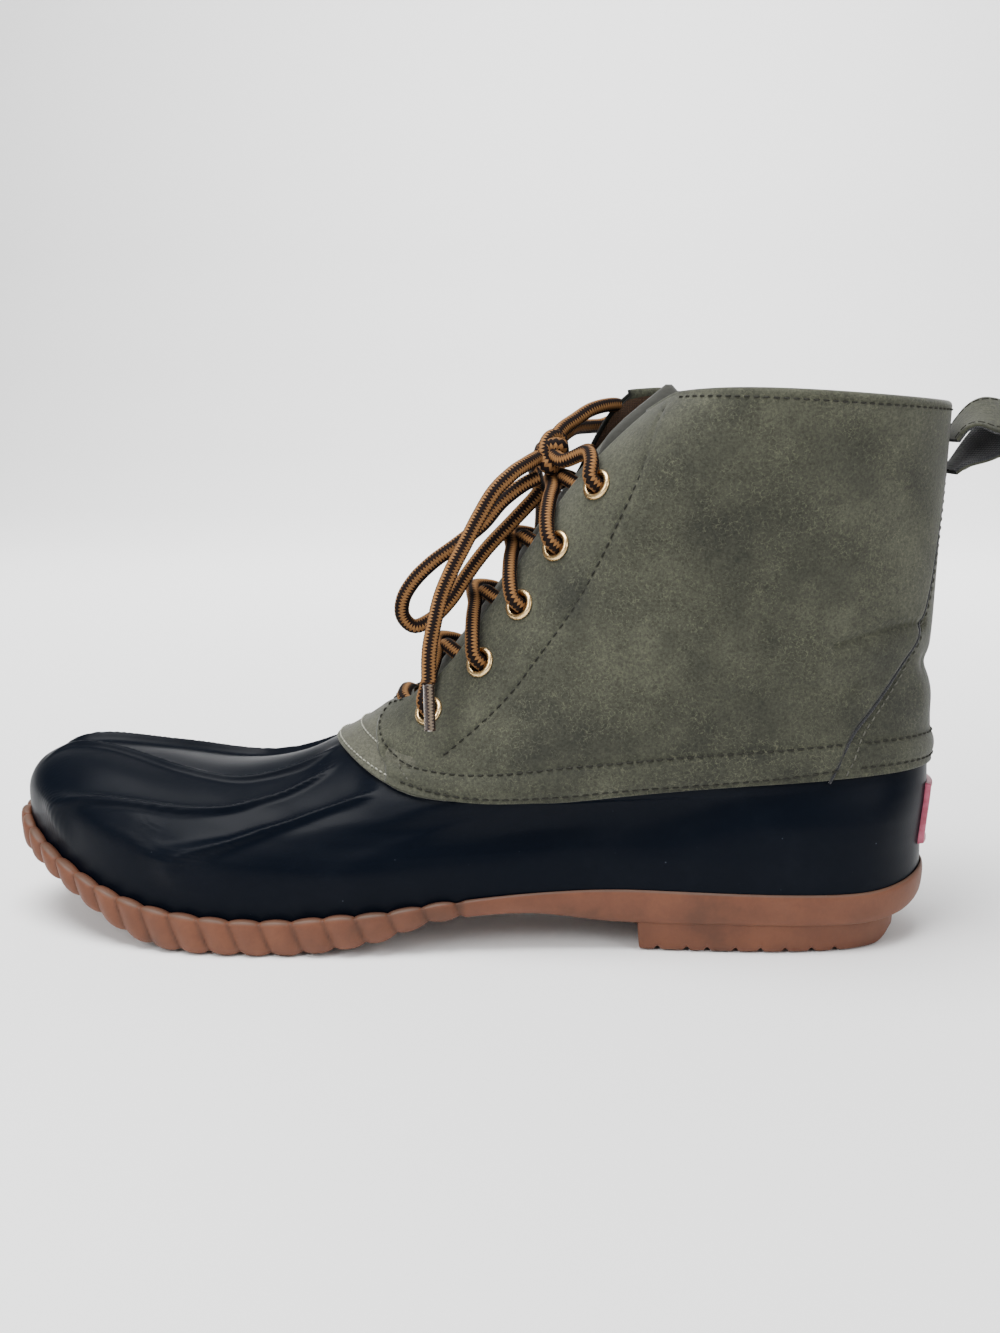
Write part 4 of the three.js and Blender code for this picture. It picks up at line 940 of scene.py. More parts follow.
def makeHeelBlock():
    shape = soleShape
    lastTurn = math.degrees(math.acos(1 - 2 * shape["blockFront"] / last["length"]))
    turns = np.linspace(-lastTurn, lastTurn, 1200)

    def outline(inset):
        rear = shape["blockRound"] * (1 - np.abs(turns) / lastTurn) ** 3
        forward, sideways = planPoint(turns, shape["blockInset"] + inset + rear)
        forward = np.minimum(forward, shape["blockFront"] - inset)
        line = np.stack([forward, sideways], -1)
        across = np.linspace(line[-1], line[0], 120)[1:-1]
        ring = np.concatenate([line, across])
        walked = np.concatenate([[0], np.cumsum(np.linalg.norm(np.diff(ring, axis=0), axis=1))])
        at = np.linspace(0, walked[-1], 620, endpoint=False)
        return np.stack([np.interp(at, walked, ring[:, 0]), np.interp(at, walked, ring[:, 1])], -1)

    rows = []
    highest = shape["blockCorner"]
    profile = [(0.0, 3.0), (0.0, 2.3), (0.12, 1.75), (0.4, 1.45), (1.0, 1.25), (2.2, 1.1), (4.0, 0.95), (6.0, 0.8),
               (8.4, 0.7), (10.0, 0.7)]
    for height, inset in profile:
        line = outline(inset)
        notched = notchRise(line[:, 0], shape["blockNotches"], shape["blockNotchWidth"], shape["blockNotchDepth"])
        back = np.clip(1 - (line[:, 0] - shape["blockInset"] - shape["blockRound"]) / shape["heelRiseLength"], 0, 1)
        lift = np.maximum(notched, shape["heelRise"] * back ** 2) * max(0.0, 1 - height / (2.2 * highest))
        rows.append(placed(np.stack([line[:, 0], line[:, 1], height + lift], -1)))
    edge = rows[0]
    under = [mix(np.stack([edge[:, 0], 0 * edge[:, 1], edge[:, 2]], -1), edge, share)
             for share in (0.0, 0.4, 0.8)]
    return patch(np.stack(under + rows), 0, around=True)


solePatches, _ = makeSole()
makePiece("gumSole", solePatches + [makeHeelBlock()], [materials["gum"]], ["sole"])
print("sole made")


# Shell: moulded rubber with wavy ridges over the vamp

shellShape = {"wall": 2.4, "flangeStep": 0.8, "flangeTop": 8.85, "beadHeight": 1.7, "beadWidth": 1.25,
              "troughDepth": 1.15, "troughWidth": 5.0}
# Ridges over the vamp, from the toe back: forward from the heel, and sideways from the foot's middle line
ridges = [
    {"line": [(277, -8), (270, -2.5), (257, -4), (243, -8), (228, -13.5), (213, -16), (202, -14), (190, -11.5),
              (181, -8.5)], "mirror": True},
    {"line": [(279, -13), (272, -19.5), (262, -25.5), (247, -29.5), (233, -32), (220, -33), (209, -31.5),
              (198, -26.5), (188, -21.5), (179.5, -17)], "mirror": True},
    {"line": [(240, -40), (228, -42.5), (210, -41.8), (194, -37.5), (178, -32.5), (165, -30.5)], "mirror": True},
]


def vampRow(line):  # a ridge's line made even
    return spline(np.array([(forward, sideways, 0.0) for forward, sideways in line]) * mm, 0.8 * mm)[:, :2] / mm


def beadRelief(forward, sideways):  # height of the ridges' beads and the hollows beside them
    relief = np.zeros_like(forward)
    middle = np.interp(forward, [150, 200, 286], [0.0, 2.0, 4.0])
    for ridge in ridges:
        for side in (outerSide, innerSide):
            line = vampRow(ridge["line"])
            lineMiddle = np.interp(line[:, 0], [150, 200, 286], [0.0, 2.0, 4.0])
            y = line[:, 1] if side == outerSide else 2 * lineMiddle - line[:, 1]
            flatX, flatY = forward.reshape(-1), sideways.reshape(-1)
            gap = np.full(flatX.shape, 1e9)
            share = np.zeros(flatX.shape)
            signed = np.zeros(flatX.shape)
            for i in range(0, len(line)):
                distance = np.hypot(flatX - line[i, 0], flatY - y[i])
                closer = distance < gap
                gap = np.where(closer, distance, gap)
                share = np.where(closer, i / (len(line) - 1), share)
                signed = np.where(closer, (flatY - y[i]) * side, signed)
            fade = smooth(0.0, 0.16, share) * smooth(1.02, 0.9, share)
            bead = shellShape["beadHeight"] * np.exp(-(gap / shellShape["beadWidth"]) ** 2)
            # The hollow lies on the side towards the foot's middle, where the wave drops away.
            inner = np.clip(-signed / shellShape["troughWidth"], 0, None)
            hollow = shellShape["troughDepth"] * inner * np.exp(1 - inner) * np.exp(-(gap / 11.0) ** 2)
            relief = relief + ((bead - hollow) * fade).reshape(forward.shape)
    return relief


def makeShell():
    front = np.linspace(80, 180, 262, endpoint=False)
    rear = np.linspace(-80, 80, 120, endpoint=False)
    turns = np.concatenate([front - 260, rear, front])
    levels = np.concatenate([np.linspace(0, 1, 5, endpoint=False), np.linspace(1, 8, 126), [8.15, 8.4, 8.85]])
    T, L = np.meshgrid(turns, levels)
    base = lastPoint(T, L)
    relief = beadRelief(base[..., 0], base[..., 1])
    upward = smooth(1.2, 1.9, L) * smooth(8.1, 7.9, L) * smooth(70, 100, np.abs(T))
    outer = form(T, L, relief * upward - shellShape["flangeStep"] * smooth(8.05, 8.5, L))
    innerLevels = np.concatenate([[8.85, 8.4], np.linspace(8, 0.1, 12)])
    IT, IL = np.meshgrid(turns, innerLevels)
    inner = form(IT, IL, -shellShape["wall"])
    grid = np.concatenate([outer, inner])
    return makePiece("rubberShell", [patch(grid, 0, around=True)], [materials["shell"]], ["shell"])


makeShell()
print("shell made")


# Upper: leather quarters with a padded band, an apron in front and a stay at the back

# Band along the shell: turn, then the levels of the leather's edge and of its lower and upper stitches
bandRows = np.array([
    [0, 8.02, 8.24, 8.84], [12, 8.03, 8.27, 8.88], [48, 8.1, 8.37, 8.99], [64, 8.12, 8.28, 8.99],
    [80, 8.1, 8.24, 8.98], [94, 7.94, 8.16, 8.9], [107, 7.62, 7.89, 8.74], [118, 7.36, 7.67, 8.5],
    [125, 7.4, 7.7, 8.36], [131, 7.54, 7.78, 8.3], [137, 7.7, 7.87, 8.28], [149, 7.91, 8.02, 8.42],
    [160, 8.02, 8.1, 8.5], [180, 8.08, 8.15, 8.56],
])
lineColumn, lowColumn, highColumn = 1, 2, 3
# Seam between quarter and back stay, and the quarter's front corner: level, then turn
staySeam = np.array([[8.0, 50.5], [8.5, 49.5], [8.9, 48.2], [9.3, 45.8], [9.8, 39.6], [10.4, 31.5], [10.9, 24.5],
                     [11.5, 19.0], [12.2, 15.5], [13.1, 12.5], [14.0, 11.0], [15.2, 10.0]])
frontCorner = np.array([[7.7, 133.0], [7.9, 135.5], [8.3, 142.5], [8.42, 149.0], [8.55, 155.5], [8.69, 161.5],
                        [8.85, 167.5], [9.0, 171.0], [9.1, 172.0]])
# Row of stitches slanting down the quarter: turn and level from the collar
slantSeam = [(-148, 14.69), (-140.5, 14.2), (-134.5, 13.7), (-130.5, 13.1), (-129.2, 12.62), (-128.2, 12.0),
             (-128.4, 11.33), (-129.7, 10.85), (-131.2, 10.43), (-132.2, 9.68), (-133.2, 8.95), (-133.6, 8.56)]
upperShape = {"top": leatherTop, "base": 1.2, "bandPuff": 1.0, "grooveDepth": 0.4, "grooveWidth": 0.75,
              "collarFold": 1.3}
# Creases: turn and level along each, its width and its depth in millimetres, ridges above zero
creases = [
    {"line": [(-57, 10.78), (-46, 10.93), (-30, 11.02), (-22, 11.0)], "width": 1.6, "depth": -1.05},
    {"line": [(-60, 10.5), (-45, 10.66), (-28, 10.75)], "width": 5.0, "depth": 0.8},
    {"line": [(-80, 10.1), (-66, 10.18), (-50, 10.06)], "width": 2.0, "depth": -0.6},
    {"line": [(-82, 9.85), (-66, 9.92), (-48, 9.85)], "width": 5.0, "depth": 0.5},
    {"line": [(-95, 9.4), (-80, 9.75), (-62, 9.8)], "width": 6.0, "depth": -0.6},
    {"line": [(-112, 11.9), (-96, 11.3), (-80, 11.0)], "width": 9.0, "depth": -0.8},
    {"line": [(-118, 11.2), (-100, 10.7), (-84, 10.5)], "width": 8.0, "depth": 0.7},
    {"line": [(-125, 13.9), (-105, 13.4), (-85, 13.3)], "width": 12.0, "depth": 0.8},
    {"line": [(-70, 14.3), (-52, 13.4), (-40, 12.6)], "width": 9.0, "depth": -0.7},
    {"line": [(-146, 8.34), (-143, 8.3), (-139, 8.32)], "width": 2.4, "depth": -1.3},
    {"line": [(-14, 10.35), (0, 10.3), (14, 10.35)], "width": 3.2, "depth": -0.95},
    {"line": [(-16, 9.75), (0, 9.72), (16, 9.75)], "width": 6.0, "depth": 0.9},
    {"line": [(24, 11.05), (46, 10.9), (60, 10.75)], "width": 2.6, "depth": -1.0},
    {"line": [(26, 10.7), (48, 10.6), (66, 10.45)], "width": 5.0, "depth": 0.9},
    {"line": [(50, 10.1), (70, 9.9), (92, 10.0)], "width": 3.6, "depth": -0.8},
    {"line": [(80, 11.0), (100, 11.5), (116, 11.9)], "width": 8.0, "depth": -0.9},
]


def nearestGap(points, line):  # distance in millimetres from points to a line of points, all in metres
    flat = points.reshape(-1, 3)
    gap = np.full(len(flat), 1e9)
    for spot in line:
        gap = np.minimum(gap, np.linalg.norm(flat - spot, axis=1))
    return gap.reshape(points.shape[:-1]) / mm


def surfaceLine(pairs, spacing, offset=0.0):  # an even line on the last through turns and levels
    pairs = np.asarray(pairs, float)
    run = spline(np.stack([pairs[:, 0] * 0.02, pairs[:, 1], 0 * pairs[:, 0]], 1), 0.02)
    turns, levels = run[:, 0] / 0.02, run[:, 1]
    points = form(turns, levels, offset)
    walked = np.concatenate([[0], np.cumsum(np.linalg.norm(np.diff(points, axis=0), axis=1))])
    at = np.linspace(0, walked[-1], max(2, int(round(walked[-1] / spacing)) + 1))
    return np.interp(at, walked, turns), np.interp(at, walked, levels)


creaseLines = []
for crease in creases:
    creaseTurns, creaseLevels = surfaceLine(crease["line"], 2 * mm)
    creaseLines.append(form(creaseTurns, creaseLevels))
slantTurns, slantLevels = surfaceLine(slantSeam, 1.0 * mm)


def farFlare(turn, level):  # the inner quarter's front corner opens away from the tongue
    edge = np.abs(turnAcross(-throatGap(np.maximum(level, 9.5)), np.maximum(level, 9.5)))
    fromEdge = np.maximum(0, edge - np.abs(turn))
    return np.where(turn > 0, 8.5 * np.exp(-fromEdge / 9.0) * smooth(12.5, 14.4, level), 0.0)


def bandRelief(turn, level):
    size = np.abs(turn)
    low, high = along(bandRows, lowColumn, size), along(bandRows, highColumn, size)
    share = np.clip((level - low) / (high - low), 0, 1)
    puff = upperShape["bandPuff"] * np.sin(np.pi * share) ** 0.7
    return np.where((level > low) & (level < high), puff, 0.0)


def leatherRelief(turn, level):  # creases, the padded band and the slanting seam's groove
    base = form(turn, level)
    relief = np.zeros(base.shape[:-1])
    for crease, line in zip(creases, creaseLines):
        gap = nearestGap(base, line)
        relief = relief + 1.35 * crease["depth"] * np.exp(-(gap / crease["width"]) ** 2)
    for side in (outerSide, innerSide):
        line = form(-side * slantTurns, slantLevels)
        gap = nearestGap(base, line)
        relief = relief - upperShape["grooveDepth"] * np.exp(-(gap / upperShape["grooveWidth"]) ** 2)
    calm = smooth(15.0, 14.6, level)
    return relief * calm


def keepFaces(points, eyeletsNear, reach):  # faces whose middle lies clear of the eyelets' holes
    middle = (points[:-1, :-1] + points[1:, 1:]) / 2
    keep = np.ones(middle.shape[:2], bool)
    for eyelet in eyeletsNear:
        away = middle - eyelet["centre"]
        height = (away * eyelet["normal"]).sum(-1)
        flat = away - height[..., None] * eyelet["normal"]
        keep &= ~((np.linalg.norm(flat, axis=-1) < reach * mm) & (np.abs(height) < 6 * mm))
    return keep


def quarterFront(level):  # turn of the quarter's front edge, from its corner up the throat
    corner = along(frontCorner, 1, level)
    gap = np.maximum(5.6, throatGap(level))
    throat = np.abs(turnAcross(-gap, np.maximum(level, 9.0)))
    return mix(corner, throat, smooth(8.98, 9.16, level))


def makeQuarter(side):
    columns, rows = 176, 158
    low, high = 8.0, 15.0
    w = np.concatenate([np.linspace(0, 0.17, 46, endpoint=False), np.linspace(0.17, 1, rows - 46)])
    nominal = mix(low, high, w)
    frontTurns, rearTurns = quarterFront(nominal), along(staySeam, 1, nominal)
    u = np.linspace(0, 1, columns)
    turns = side * mix(frontTurns[:, None], rearTurns[:, None], u[None, :])
    lineLevels = along(bandRows, lineColumn, np.abs(turns))
    corner = 0.42 * np.clip(1 - u / 0.07, 0, 1) ** 2
    levels = lineLevels + (high - corner[None, :] - lineLevels) * w[:, None]
    relief = leatherRelief(turns, levels) + bandRelief(turns, levels) + farFlare(turns, levels)
    # Edges are rounded down: a thin lower edge on the rubber, and soft edges at the throat and the seam.
    walk = np.linalg.norm(np.diff(form(turns, levels), axis=1), axis=2) / mm
    fromFront = np.concatenate([np.zeros((len(w), 1)), np.cumsum(walk, 1)], 1)
    fromRear = fromFront[:, -1:] - fromFront
    soften = 0.5 * np.exp(-(fromFront / 0.7) ** 2) + 0.35 * np.exp(-(fromRear / 0.6) ** 2)
    top = upperShape["top"]
    surface = form(turns, levels, top + relief - soften)
    skirt = form(turns[:1], levels[:1], 0.15)
    # The collar: the leather folds over the edge and goes down inside.
    fold = upperShape["collarFold"]
    lift = lastNormal(turns[-1:], levels[-1:]) * 0
    lift[..., 2] = mm
    open_ = farFlare(turns[-1:], levels[-1:])
    crown = [form(turns[-1:], levels[-1:], open_ + top - 0.25) + 0.6 * fold * lift,
             form(turns[-1:], levels[-1:], open_ + top - 0.9) + fold * lift,
             form(turns[-1:], levels[-1:], open_ + 0.3) + 0.85 * fold * lift,
             form(turns[-1:], levels[-1:], open_ - 0.15) + 0.2 * fold * lift,
             form(turns[-1:], levels[-1:] - 0.25, open_ - 0.2)]
    grid = np.concatenate([skirt, surface] + crown)
    # The throat's edge: the leather turns under, so the grid gains columns in front.
    rowTurns = np.concatenate([turns[:1], turns] + [turns[-1:]] * 5)
    rowLevels = np.concatenate([levels[:1], levels] + [levels[-1:]] * 4 + [levels[-1:] - 0.25])
    edgeOpen = farFlare(rowTurns[:, :1], rowLevels[:, :1])
    insideEdge = form(rowTurns[:, :1] + side * 0.05, rowLevels[:, :1], edgeOpen + 0.75)
    under = form(rowTurns[:, :1] - side * 1.2, rowLevels[:, :1], edgeOpen + 0.1)
    for extra in (insideEdge, under):
        extra[-5:] = grid[-5:, :1] + (extra[-5:] - grid[-5:, :1]) * 0.3
    rearUnder = form(rowTurns[:, -1:], rowLevels[:, -1:], 0.9)
    rearUnder[-5:] = grid[-5:, -1:]
    grid = np.concatenate([under, insideEdge, grid, rearUnder], 1)
    nearEyelets = [eyelet for eyelet in eyelets if eyelet["side"] == side]
    markAndPaintedLight = np.zeros(grid.shape[:2])
    markAndPaintedLight[:, :3] = 1.0
    markAndPaintedLight[:, -2:] = 1.0
    return patch(grid, 0, keep=keepFaces(grid, nearEyelets, 3.4), flip=side == outerSide, markAndPaintedLight=markAndPaintedLight)


def makeApron():
    turns = np.linspace(126, 234, 150)
    w = np.linspace(0, 1, 44)
    lineLevels = along(bandRows, lineColumn, np.abs(wrapTurn(turns)))
    levels = lineLevels + (9.42 - lineLevels) * w[:, None]
    T = np.broadcast_to(turns, levels.shape)
    offset = mix(1.3, -0.7, smooth(8.95, 9.35, levels))
    skirt = form(T[:1], levels[:1], 0.1)
    surface = form(T, levels, offset)
    return patch(np.concatenate([skirt, surface]), 1, flip=False)


def makeStay():
    w = np.linspace(0, 1, 120)
    nominal = mix(8.0, 15.0, w)
    half = along(staySeam, 1, nominal) + 1.6
    u = np.linspace(-1, 1, 72)
    turns = half[:, None] * u
    lineLevels = along(bandRows, lineColumn, np.abs(turns))
    levels = lineLevels + (15.0 - lineLevels) * w[:, None]
    relief = leatherRelief(turns, levels) + bandRelief(turns, levels)
    surface = form(turns, levels, 1.35 + relief)
    skirt = form(turns[:1], levels[:1], 0.1)
    lift = np.array([0.0, 0.0, mm])
    crown = [form(turns[-1:], levels[-1:], 1.1) + 0.7 * lift, form(turns[-1:], levels[-1:], 0.6) + 1.2 * lift,
             form(turns[-1:], levels[-1:], 0.0) + 0.8 * lift, form(turns[-1:], levels[-1:] - 0.2, -0.1)]
    return patch(np.concatenate([skirt, surface] + crown), 0, flip=False)


def makeLining():
    w = np.linspace(0, 1, 70)
    levels = mix(0.3, 15.0, w)
    ends = np.where(levels > 9.05, np.abs(turnAcross(-np.maximum(throatGap(levels), 1.0), np.maximum(levels, 9.05))), 180.0)
    u = np.linspace(-1, 1, 170)
    turns = ends[:, None] * u
    drop = 0.5 * np.clip(1 - (ends[:, None] - np.abs(turns)) / 10, 0, 1) ** 2 * smooth(9.5, 10.5, levels)[:, None]
    L = levels[:, None] - drop * w[:, None]
    offset = mix(-2.7, -0.6, smooth(8.7, 9.1, L))
    offset = offset + farFlare(turns, L)
    inner = form(turns, L, offset)
    outer = form(turns, L, offset + 0.4)
    kept = [eyelet for eyelet in eyelets]
    return [patch(inner, 2, keep=keepFaces(inner, kept, 3.3), flip=True),
            patch(outer[levels > 9.0], 2, keep=keepFaces(outer[levels > 9.0], kept, 3.3))]


upperPatches = [makeQuarter(outerSide), makeQuarter(innerSide), makeApron(), makeStay()] + makeLining()
makePiece("leatherUpper", upperPatches, [materials["nubuck"], materials["apron"], materials["lining"]],
          ["upper"])
print("upper made")


# Seams: an edge cord at the back stay, and rows of stitches sunk into the leather

def plainTube(points, radius, sides=8):
    tangents, side, up = carriedFrames(points)
    angle = np.linspace(0, 2 * np.pi, sides + 1)
    return points[:, None] + radius * mm * (np.cos(angle)[None, :, None] * side[:, None]
                                            + np.sin(angle)[None, :, None] * up[:, None])


def stitchRow(turns, levels, offset, pitch, length, radius):  # small bent threads along a line
    points = form(turns, levels, offset)
    normals = lastNormal(turns, levels)
    walked = np.concatenate([[0], np.cumsum(np.linalg.norm(np.diff(points, axis=0), axis=1))]) / mm
    count = int(walked[-1] // pitch)
    grids = []
    angle = np.linspace(0, 2 * np.pi, 7)
    for number in range(count):
        start = (number + 0.5) * pitch
        shares = np.linspace(-1, 1, 7)
        at = start + shares * length / 2
        line = np.stack([np.interp(at, walked, points[:, axis]) for axis in range(3)], 1)
        normal = np.stack([np.interp(at, walked, normals[:, axis]) for axis in range(3)], 1)
        tangent = line[-1] - line[0]
        tangent = tangent / np.linalg.norm(tangent)
        across = np.cross(tangent, normal[3])
        arch = (radius * (1.0 - 2.2 * np.abs(shares) ** 3))[:, None] * mm * normal
        size = radius * np.sqrt(np.clip(1.06 - shares ** 4, 0, 1))
        grid = (line + arch)[:, None] + (size[:, None, None] * mm) * (
            np.cos(angle)[None, :, None] * across + np.sin(angle)[None, :, None] * normal[:, None])
        grids.append(grid)
    return grids


def rowAt(column, fromTurn, toTurn, lift=0.0):
    turns = np.linspace(fromTurn, toTurn, 900)
    levels = along(bandRows, column, np.abs(wrapTurn(turns))) + lift
    return turns, levels


stitching = {"pitch": 2.9, "length": 2.35, "radius": 0.28, "slantPitch": 3.0, "slantLength": 2.3, "collarPitch": 2.7}
darkRows, grayRows, paleRows = [], [], []
for side in (outerSide, innerSide):
    stayTurn = 47.5
    for column in (lowColumn, highColumn):
        first = 134.5 if column == lowColumn else 142.0
        turns, levels = rowAt(column, side * first, side * stayTurn)
        darkRows += stitchRow(turns, levels, upperShape["top"] + 0.05, stitching["pitch"], stitching["length"],
                              stitching["radius"])
    darkRows += stitchRow(-side * slantTurns, slantLevels, upperShape["top"] - 0.32, stitching["slantPitch"],
                          stitching["slantLength"], stitching["radius"])
    # Along the collar, 2 mm under its edge, from the throat to the seam at the back
    turns = side * np.linspace(146, 12, 700)
    darkRows += stitchRow(turns, np.full(700, 14.9), upperShape["top"], stitching["collarPitch"], 2.0,
                          stitching["radius"])
    # Round the quarter's front corner and up the throat's edge
    cornerLevels = np.linspace(8.36, 14.75, 900)
    cornerTurns = quarterFront(cornerLevels) - mix(2.6, 3.4, smooth(9.0, 9.4, cornerLevels))
    darkRows += stitchRow(side * cornerTurns[:130], cornerLevels[:130], upperShape["top"] + 0.02, 2.7, 1.9,
                          stitching["radius"])
    # Band's end seam at the front corner
    endLevels = np.linspace(8.24, 7.86, 40)
    endTurns = np.linspace(140.0, 131.5, 40)
    grayRows += stitchRow(side * endTurns, endLevels, upperShape["top"] + 0.55, 1.7, 1.3, 0.25)
    # Behind the stay's seam, on the stay
    seamLevels = np.linspace(8.15, 14.7, 900)
    seamTurns = along(staySeam, 1, seamLevels) - mix(3.4, 2.6, smooth(8.0, 11.0, seamLevels))
    seamRelief = leatherRelief(side * seamTurns, seamLevels) + bandRelief(side * seamTurns, seamLevels)
    grayRows += stitchRow(side * seamTurns, seamLevels, 1.4 + seamRelief, 2.6, 1.9, 0.24)
for column in (lowColumn, highColumn):
    turns, levels = rowAt(column, -43.5, 43.5)
    darkRows += stitchRow(turns, levels, 1.5, stitching["pitch"], stitching["length"], stitching["radius"])
for column, first in ((lowColumn, 136.5), (highColumn, 150.0)):
    turns, levels = rowAt(column, first, 360 - first)
    paleRows += stitchRow(turns, levels, 1.4, 2.0, 1.45, 0.26)


def makeSeamCord(side):
    levels = np.linspace(8.0, 15.0, 260)
    turns = side * along(staySeam, 1, levels)
    relief = leatherRelief(turns, levels) + 0.5 * bandRelief(turns, levels)
    return patch(plainTube(form(turns, levels, 1.45 + relief), 0.42), 3)


stitchPatches = [patch(grid, index) for index, rows in enumerate((darkRows, grayRows, paleRows)) for grid in rows]
stitchPatches += [makeSeamCord(outerSide), makeSeamCord(innerSide)]
makePiece("upperSeams", stitchPatches, [materials["darkThread"], materials["grayThread"], materials["paleThread"],
                                        materials["blackCloth"]])
print("seams made", len(darkRows), len(grayRows), len(paleRows))


# Tongue: a padded leaf with dark rolled edges, pressed down beside the laces

tongueShape = {"base": 8.95, "top": 15.2, "crown": 0.35, "half": 23.0, "taper": 0.85, "rollAt": 12.2,
               "thickness": 2.5}


def makeTongue():
    rows, columns = 110, 72
    share = np.linspace(0, 1, rows)[:, None]
    across = np.linspace(-1, 1, columns)[None, :]
    level = mix(tongueShape["base"], tongueShape["top"] - tongueShape["crown"] * across ** 4, share)
    half = tongueShape["half"] * mix(tongueShape["taper"], 1, share)
    distance = across * half
    turn = turnAcross(np.where(np.abs(distance) < 1e-6, 1e-6, distance), level)
    size = np.abs(distance)
    high = smooth(13.0, 14.0, level)
    middle = (-0.6 - 2.0 * smooth(10.1, 9.5, level) + 0.9 * np.exp(-(size / 9.0) ** 2)
              + 2.6 * smooth(13.2, 14.6, level) * smooth(14.0, 8.0, size))
    roll = 3.7 * np.exp(-((size - tongueShape["rollAt"]) / 1.5) ** 2) * high
    dip = -4.0 * smooth(9.5, 14.0, size) * (1 - high) - 1.5 * smooth(15.5, 19.0, size) * high
    outer = form(turn, level, middle + roll + dip)
    inner = form(turn, level, middle + dip - tongueShape["thickness"])
    crown = form(turn[-1:], level[-1:] + 0.08, (middle + roll + dip)[-1:] - 1.2)
    grid = np.concatenate([outer, crown, inner[::-1]])
    size = np.concatenate([size, size[-1:], size[::-1]])
    cells = (size[:-1, :-1] > 9.8)
    isInner = np.arange(grid.shape[0] - 1)[:, None] >= rows
    leatherKeep = ~cells & ~isInner
    return [patch(grid, 0, keep=leatherKeep), patch(grid, 1, keep=cells & ~isInner),
            patch(grid, 2, keep=np.broadcast_to(isInner, cells.shape))]


makePiece("tongueLeaf", makeTongue(), [materials["nubuck"], materials["darkRoll"], materials["lining"]],
          ["tongue"])


# Heel label, bare, with a raised edge painted paler as a highlight

labelShape = {"halfTurn": 11.0, "low": 28.5, "high": 47.0, "thickness": 1.3}


def levelAtHeight(turn, height):
    turn, height = np.broadcast_arrays(np.asarray(turn, float), np.asarray(height, float))
    low, high = np.full(turn.shape, 1.0), np.full(turn.shape, float(collarRing))
    for _ in range(26):
        middle = (low + high) / 2
        below = lastPoint(turn, middle)[..., 2] < height
        low, high = np.where(below, middle, low), np.where(below, high, middle)
    return (low + high) / 2


def makeLabel():
    u, v = np.linspace(-1, 1, 60)[None, :], np.linspace(-1, 1, 50)[:, None]
    turns = labelShape["halfTurn"] * u + 0 * v
    heights = mix(labelShape["low"], labelShape["high"], (v + 1) / 2) + 0 * u
    edge = np.maximum(np.abs(u) ** 1.0, np.abs(v) ** 1.0)
    raised = smooth(1.0, 0.97, edge) * labelShape["thickness"]
    border = 0.35 * smooth(0.84, 0.88, edge) * smooth(0.99, 0.96, edge)
    grid = form(turns, levelAtHeight(turns, heights), 0.1 + raised + border)
    # Rim and sides take the paler material, a painted highlight.
    face = edge[:-1, :-1] < 0.86
    return [patch(grid, 0, keep=face), patch(grid, 1, keep=~face)]


makePiece("heelLabel", makeLabel(), [materials["label"], materials["labelEdgeHighlight"]], ["heel_label"])


# Pull loop: a strap of leather backed with black, standing out from the back and twisted towards the outer side

loopShape = {"width": 20.0, "thickness": 1.8, "reach": 19.0, "height": 149.0, "twist": 30.0}
loopRows = [(0, 0), (0.16, 0.24), (0.36, 0.4), (0.62, 0.42), (0.88, 0.34), (1, 0.22), (0.88, 0.12), (0.62, 0),
            (0.3, -0.22), (0, -0.48)]


